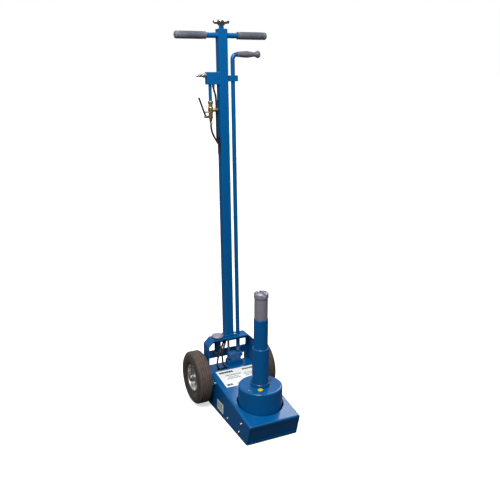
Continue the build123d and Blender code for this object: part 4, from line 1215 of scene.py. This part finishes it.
@dataclass
class Handle:
    """The tee bar's grips, the star handwheel and the crank's grip.

    Attributes:
        handle: The handle's own axes.
        flutes: Grooves round a tee grip.
        flute: Depth of a groove.
        lobes: Points of the star wheel.
        pull: How far each vertex is drawn in, from the middle of a notch to its end.
    """

    handle: Matrix
    flutes: int = 30
    flute: float = 0.55 * MM
    lobes: int = 6
    pull: tuple[float, ...] = (0.72, 0.745, 0.81, 0.90, 0.965)

    def grip(self, side: Side) -> None:
        """A fluted rubber grip with a collar and a closed round end.

        Args:
            side: Which end of the tee bar it is on.
        """
        node = f"grip_{side.word}"
        size = extent(node) / MM
        length, radius = size.x, size.z / 2
        section = [
            (10.9, 0.0), (radius - 0.4, 0.0), (radius, 0.8), (radius, 3.6), (radius - 1.3, 5.0),
            (radius - 1.0, 8.0),
            (radius - 0.2, 14.0), (radius - 0.2, length - 24.0), (radius - 0.9, length - 15.0),
            (radius - 0.9, length - 12.5), (radius, length - 11.5), (radius - 0.2, length - 6.0),
            (radius - 2.2, length - 2.0), (radius - 6.0, length), (0.0, length), (0.0, length - 3.4),
            (10.9, length - 3.4),
        ]
        outline = eased(section, 1.4, 3)
        piece = turn(f"fluted_grip_{side.word}", [*outline, outline[0]], 2 * self.flutes)

        def in_flute(place: Vector, normal: Vector) -> bool:
            """Whether a face of the grip's side is every second one, which is pressed in."""
            flat = math.floor(math.degrees(math.atan2(place.y, place.x)) / (180.0 / self.flutes))
            on_side = abs(normal.z) < 0.12 and place.xy.length > 12.0 * MM
            return on_side and flat % 2 == 0 and 9.0 < place.z / MM < length - 17.0

        mark(piece, in_flute)
        bpy.ops.mesh.extrude_region_shrink_fatten(TRANSFORM_OT_shrink_fatten={"value": -self.flute})
        bpy.ops.object.mode_set(mode="OBJECT")
        start = middle(node) - side.outward * length / 2 * MM
        hand_over(piece, GRIP_RUBBER, Body.CHASSIS, facing(start, side.outward), [node])

    def crank_grip(self) -> None:
        """The hand shaped grip on the crank, swollen, waisted and flared."""
        node = "crank_grip"
        length = extent(node).x / MM
        shape = [
            (0.0, 8.6), (0.015, 10.2), (0.05, 10.9), (0.09, 10.6), (0.13, 10.9), (0.26, 12.3), (0.40, 13.0),
            (0.52, 12.4), (0.64, 10.6), (0.74, 9.2), (0.80, 9.6), (0.86, 12.2), (0.91, 14.2), (0.955, 13.9),
            (0.985, 12.0), (0.998, 8.6),
        ]
        skin = [(radius, share * length) for share, radius in flowing(shape, 4)]
        outline = [*skin, (0.0, length), (0.0, length - 8.0), (6.0, length - 8.0), (6.0, 0.0), skin[0]]
        outward = Side.RIGHT.outward
        start = middle(node) - outward * length / 2 * MM
        piece = turn("waisted_grip", outline, 48)
        hand_over(piece, GRIP_RUBBER, Body.CRANK, facing(start, outward), [node], crease=50.0)

    def star_wheel(self) -> None:
        """The cast star wheel: a domed disc whose rim is drawn in between its points."""
        size = extent("handwheel") / MM
        up = self.handle.to_3x3() @ UP
        radius = size.x / 2
        tall = (size.z - size.x * abs(up.y)) / up.z
        section = [
            (5.2, 0.0), (11.0, 0.0), (13.4, 3.0), (15.0, 8.0), (20.0, 8.4), (27.0, 8.2), (32.0, 9.2),
            (radius, 13.0),
            (radius, 17.5), (32.4, 21.4), (27.0, 22.6), (19.0, 21.2), (14.0, 20.6), (11.5, tall), (0.0, tall),
            (0.0, tall - 3.8), (5.2, tall - 3.8), (5.2, 0.0),
        ]
        each = 12
        wheel = turn("star_handwheel", section, each * self.lobes)
        for offset, factor in enumerate(self.pull):
            def in_notch(place: Vector, _normal: Vector, offset: int = offset) -> bool:
                """Whether a vertex of the rim is so many steps from the middle of a notch."""
                step = round(math.degrees(math.atan2(place.y, place.x)) / (360.0 / each / self.lobes))
                near = (step - each // 2) % each
                return place.xy.length > 25.0 * MM and min(near, each - near) == offset

            mark(wheel, in_notch, "VERT")
            bpy.ops.transform.resize(value=(factor, factor, 1.0), center_override=(0.0, 0.0, 0.0))
            bpy.ops.object.mode_set(mode="OBJECT")
        apply_modifier(wheel, "SUBSURF", levels=2, render_levels=2)
        base = (self.handle.inverted() @ middle("handwheel")).z - tall / 2 * MM
        hand_over(wheel, CHROME, Body.SPINDLE, self.handle @ move_to(0.0, 0.0, base), ["handwheel"], crease=60.0)

    def build(self) -> None:
        """Build the grips and the handwheel."""
        for side in Side:
            self.grip(side)
        self.crank_grip()
        self.star_wheel()


@dataclass
class AirControls:
    """The hoses from the air controls down to the air motor, with their end fittings.

    Attributes:
        handle: The handle's own axes.
        hose_radius: Radius of both hoses.
        supply_length: Length of the hose from the trigger valve. It is not used.
        pilot_length: Length of the hose from the manifold. It is not used.
    """

    handle: Matrix
    hose_radius: float = 4.0 * MM
    supply_length: float = 1.123
    pilot_length: float = 1.297

    def routes(self) -> dict[str, tuple[float, list[Vector]]]:
        """The points that each hose follows.

        Returns:
            For each hose its length and its points.
        """
        def placed(leaning: Sequence[tuple], level: Sequence[tuple]) -> list[Vector]:
            """Points in millimetres, the first ones in the handle's axes, as places in the jack's frame."""
            return [*(self.handle @ (Vector(p) * MM) for p in leaning), *(Vector(p) * MM for p in level)]

        supply = placed([
            (-54.5, 0, 910), (-54.5, 0, 892), (-46.5, -1, 868), (-33.5, -2, 845), (-17.5, -3, 822),
            (-11.5, -3, 797),
            (-11.5, -3, 772), (-11.5, -3.3, 12), (-11.5, -3.3, -8),
        ], [
            (-18, 304, 253), (-30, 295, 236), (-41, 286, 215), (-43, 280, 190), (-42, 277, 162.5),
            (-13, 272, 128.5),
            (-13, 272, 98),
        ])
        pilot = placed([
            (-38, 5, 1066), (-38, 5, 1050), (-30, 9, 1032), (-25, 10.5, 1010), (-24.8, 10.5, 879),
            (-24.8, 10.5, 848),
            (-11.2, 10.3, 820), (-11.2, 10.3, 789), (-11.2, 8.7, 12), (-11.2, 8.7, -10),
        ], [
            (-22, 313, 254), (-36, 298.5, 243), (-51, 285, 226), (-62, 281, 203), (-69, 278, 178),
            (-68, 275, 151),
            (-31, 272, 128), (-31, 272, 98),
        ])
        return {"supply_hose": (self.supply_length, supply), "pilot_hose": (self.pilot_length, pilot)}

    def build_hoses(self) -> None:
        for node, (length, points) in self.routes().items():
            hose = draw(
                f"rubber_{node}", points, "NURBS", bevel_depth=self.hose_radius, bevel_resolution=5,
                resolution_u=16, use_fill_caps=True,
            )
            spline = hose.data.splines[0]
            spline.order_u = 3
            spline.use_endpoint_u = True
            hose.data.materials.append(HOSE_RUBBER.material())
            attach(hose, Body.CHASSIS.value)
            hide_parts(node)
            LOG.info("%s: %d points", hose.name, len(points))

    def build_fittings(self) -> None:
        """The crimped ferrule on the valve, the one under the manifold and two union nuts."""
        ferrule = [
            (4.1, 0.0), (5.4, 0.0), (5.8, 0.6), (5.8, 3.0), (5.2, 3.5), (5.2, 4.3), (5.8, 4.8),
            (5.8, 6.4), (5.2, 6.9),
            (5.2, 7.7), (5.8, 8.2), (5.8, 11.4), (5.3, 12.0), (0.0, 12.0), (0.0, 1.5), (4.1, 1.5), (4.1, 0.0),
        ]
        start, tube = (self.handle.inverted() @ middle(node) for node in ("hose_ferrule", "drop_tube"))
        place = self.handle @ move_to(start.x, start.y, 910.0 * MM)
        hand_over(turn("crimped_ferrule", ferrule, 40), ZINC, Body.CHASSIS, place, ["hose_ferrule"])
        place = self.handle @ move_to(-38.0 * MM, 5.0 * MM, 1054.2 * MM)
        hand_over(turn("pilot_ferrule", ferrule, 40), BRASS, Body.CHASSIS, place)
        self.nut("tube_nut", self.handle @ move_to(tube.x, 0.0, 993.0 * MM), 19.6 * MM)
        sideways = Matrix.Rotation(math.radians(90.0), 4, "Y")
        self.nut("port_nut", self.handle @ move_to(-43.0 * MM, 0.0, 968.0 * MM) @ sideways, 15.6 * MM)

    def nut(self, name: str, place: Matrix, across: float, tall: float = 9.0 * MM) -> None:
        """A hexagonal union nut with chamfered corners.

        Args:
            name: The piece's name.
            place: Where its lower face goes, with its axis along Z.
            across: Size across the flats.
            tall: Its height.
        """
        pick(None)
        bpy.ops.mesh.primitive_cylinder_add(
            vertices=6, radius=across / math.sqrt(3.0), depth=tall, location=UP * tall / 2,
        )
        nut = bpy.context.object
        nut.name = name
        settle(nut, Matrix.Identity(4))
        mark(nut, lambda _place, normal: abs(normal.z) > 0.9)
        bpy.ops.mesh.inset(thickness=1.4 * MM, depth=0.5 * MM)
        bpy.ops.object.mode_set(mode="OBJECT")
        apply_modifier(nut, "BEVEL", width=0.45 * MM, segments=3, limit_method="ANGLE")
        hand_over(nut, BRASS, Body.CHASSIS, place)

    def build(self) -> None:
        """Build the hoses and the fittings."""
        self.build_hoses()
        self.build_fittings()


@dataclass
class Studio:
    """The camera, a pale floor and soft lights.

    Attributes:
        eye: Where the camera stands.
        right: The picture's right.
        up: The picture's up.
        lens: Focal length in millimetres on a 36 mm sensor.
        paper: Radiance of the pale backdrop.
        glow: Light added to the floor so that it ends as pale as the backdrop.
        bounce: How much light the floor throws back at the jack.
        sky: Radiance of the sky in reflections, at the horizon and high up.
        key: Strength of the sun from the left.
        rim: Strength of the sun from behind.
        window: Power of the large lamp close to the handle.
        window_place: Where that lamp hangs.
        window_target: What it is aimed at.
    """

    eye: Place = (-1.10016, -2.15062, 1.44977)
    right: Place = (0.898977, -0.437973, 0.004526)
    up: Place = (0.117917, 0.251962, 0.960526)
    lens: float = 47.88
    paper: float = 1.0
    glow: float = 0.60
    bounce: float = 0.07
    sky: Point = (0.08, 0.58)
    key: float = 0.50
    rim: float = 1.0
    window: float = 47.0
    window_place: Place = (-0.75, -0.9, 2.6)
    window_target: Place = (0.0, 0.33, 1.1)

    def build_camera(self) -> None:
        """Put the camera at its place with its axes."""
        data = bpy.data.cameras.new("camera")
        data.lens = self.lens
        data.sensor_width = 36.0
        data.clip_start, data.clip_end = 0.05, 200.0
        camera = bpy.data.objects.new("camera", data)
        right, up = Vector(self.right), Vector(self.up)
        turned = Matrix((right, up, right.cross(up))).transposed().to_4x4()
        camera.matrix_world = Matrix.Translation(self.eye) @ turned
        bpy.context.scene.collection.objects.link(camera)
        bpy.context.scene.camera = camera

    def build_floor(self) -> None:
        """A wide paper floor under the jack, pale to the camera and dull to the jack."""
        pick(None)
        bpy.ops.mesh.primitive_circle_add(vertices=96, radius=60.0, fill_type="NGON")
        floor = bpy.context.object
        floor.name = "floor"
        made = bpy.data.materials.new("pale_paper")
        made.use_nodes = True
        made.node_tree.nodes.clear()
        add = partial(add_node, made.node_tree)
        place = add("TexCoord", output="Object")
        fibre = add("TexNoise", {"Vector": place, "Scale": 3.0, "Detail": 2.0})
        ends = {6: linear("#F1F1F1"), 7: linear("#F4F4F4")}
        colour = add("Mix", {0: fibre, **ends}, 2, data_type="RGBA")
        paper = add("BsdfDiffuse", {"Color": colour})
        glow = add("Emission", {"Color": WHITE, "Strength": self.glow})
        bright = add("AddShader", {0: paper, 1: glow})
        dull = add("BsdfDiffuse", {"Color": (self.bounce, self.bounce, self.bounce, 1.0)})
        seen = add("LightPath", output="Is Camera Ray")
        both = add("MixShader", {0: seen, 1: dull, 2: bright})
        add("OutputMaterial", {"Surface": both})
        floor.data.materials.append(made)

    @staticmethod
    def add_lamp(name: str, kind: str, toward: Vector, energy: float, **settings: object) -> Piece:
        """Hang one lamp.

        Args:
            name: The lamp's name.
            kind: The lamp's type.
            toward: The direction back to where its light comes from.
            energy: Its strength.
            settings: Attributes of the lamp.

        Returns:
            The lamp, at the origin.
        """
        data = bpy.data.lights.new(name, kind)
        for key, value in {"energy": energy, **settings}.items():
            setattr(data, key, value)
        lamp = bpy.data.objects.new(name, data)
        lamp.rotation_mode = "QUATERNION"
        lamp.rotation_quaternion = toward.to_track_quat("Z", "Y")
        bpy.context.scene.collection.objects.link(lamp)
        return lamp

    def build_lights(self) -> None:
        """Two wide soft suns and a window lamp near the handle."""
        self.add_lamp("key_light", "SUN", Vector((-0.55, -0.35, 1.0)), self.key, angle=math.radians(40.0))
        self.add_lamp("rim_light", "SUN", Vector((0.9, 0.8, 0.9)), self.rim, angle=math.radians(30.0))
        place = Vector(self.window_place)
        toward = place - Vector(self.window_target)
        shape = {"shape": "RECTANGLE", "size": 0.9, "size_y": 1.3}
        lamp = self.add_lamp("window_light", "AREA", toward, self.window, **shape)
        lamp.location = place

    def build_sky(self) -> None:
        """A sky that is paper white to the camera and graded in reflections."""
        world = bpy.context.scene.world or bpy.data.worlds.new("studio")
        bpy.context.scene.world = world
        world.use_nodes = True
        world.node_tree.nodes.clear()
        add = partial(add_node, world.node_tree)
        direction = add("TexCoord", output="Generated")
        height = add("SeparateXYZ", {0: direction}, "Z")
        ends = {"To Min": self.sky[0], "To Max": self.sky[1]}
        grade = add("MapRange", {"Value": height, "From Min": 0.0, "From Max": 0.8, **ends})
        grey = add("Background", {"Color": WHITE, "Strength": grade})
        paper = add("Background", {"Color": WHITE, "Strength": self.paper})
        seen = add("LightPath", output="Is Camera Ray")
        both = add("MixShader", {0: seen, 1: grey, 2: paper})
        add("OutputWorld", {"Surface": both})

    def build(self) -> None:
        """Build the camera, the floor, the lights and the sky."""
        self.build_camera()
        self.build_floor()
        self.build_lights()
        self.build_sky()
        bpy.context.scene.view_settings.view_transform = "Standard"


def dress_nodes() -> None:
    """Give every CAD node its finish."""
    for finish, names in NODE_FINISHES.items():
        for name in names:
            node = frame["nodes"][name]
            node.data.materials.clear()
            node.data.materials.append(finish.material())
            LOG.info("%s: %s", name, finish.name)


def main() -> None:
    """Build every part of the scene in order."""
    logging.basicConfig(level=logging.INFO, format="%(name)s %(message)s")
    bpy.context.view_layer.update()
    handle = HandleAxes().place()
    Studio().build()
    AirControls(handle).build()
    dress_nodes()
    Labels().build()
    Chassis(handle).build()
    Ram().build()
    for side in Side:
        Wheel(side).build()
    Handle(handle).build()
    pick(None)


if __name__ == "__main__":
    main()
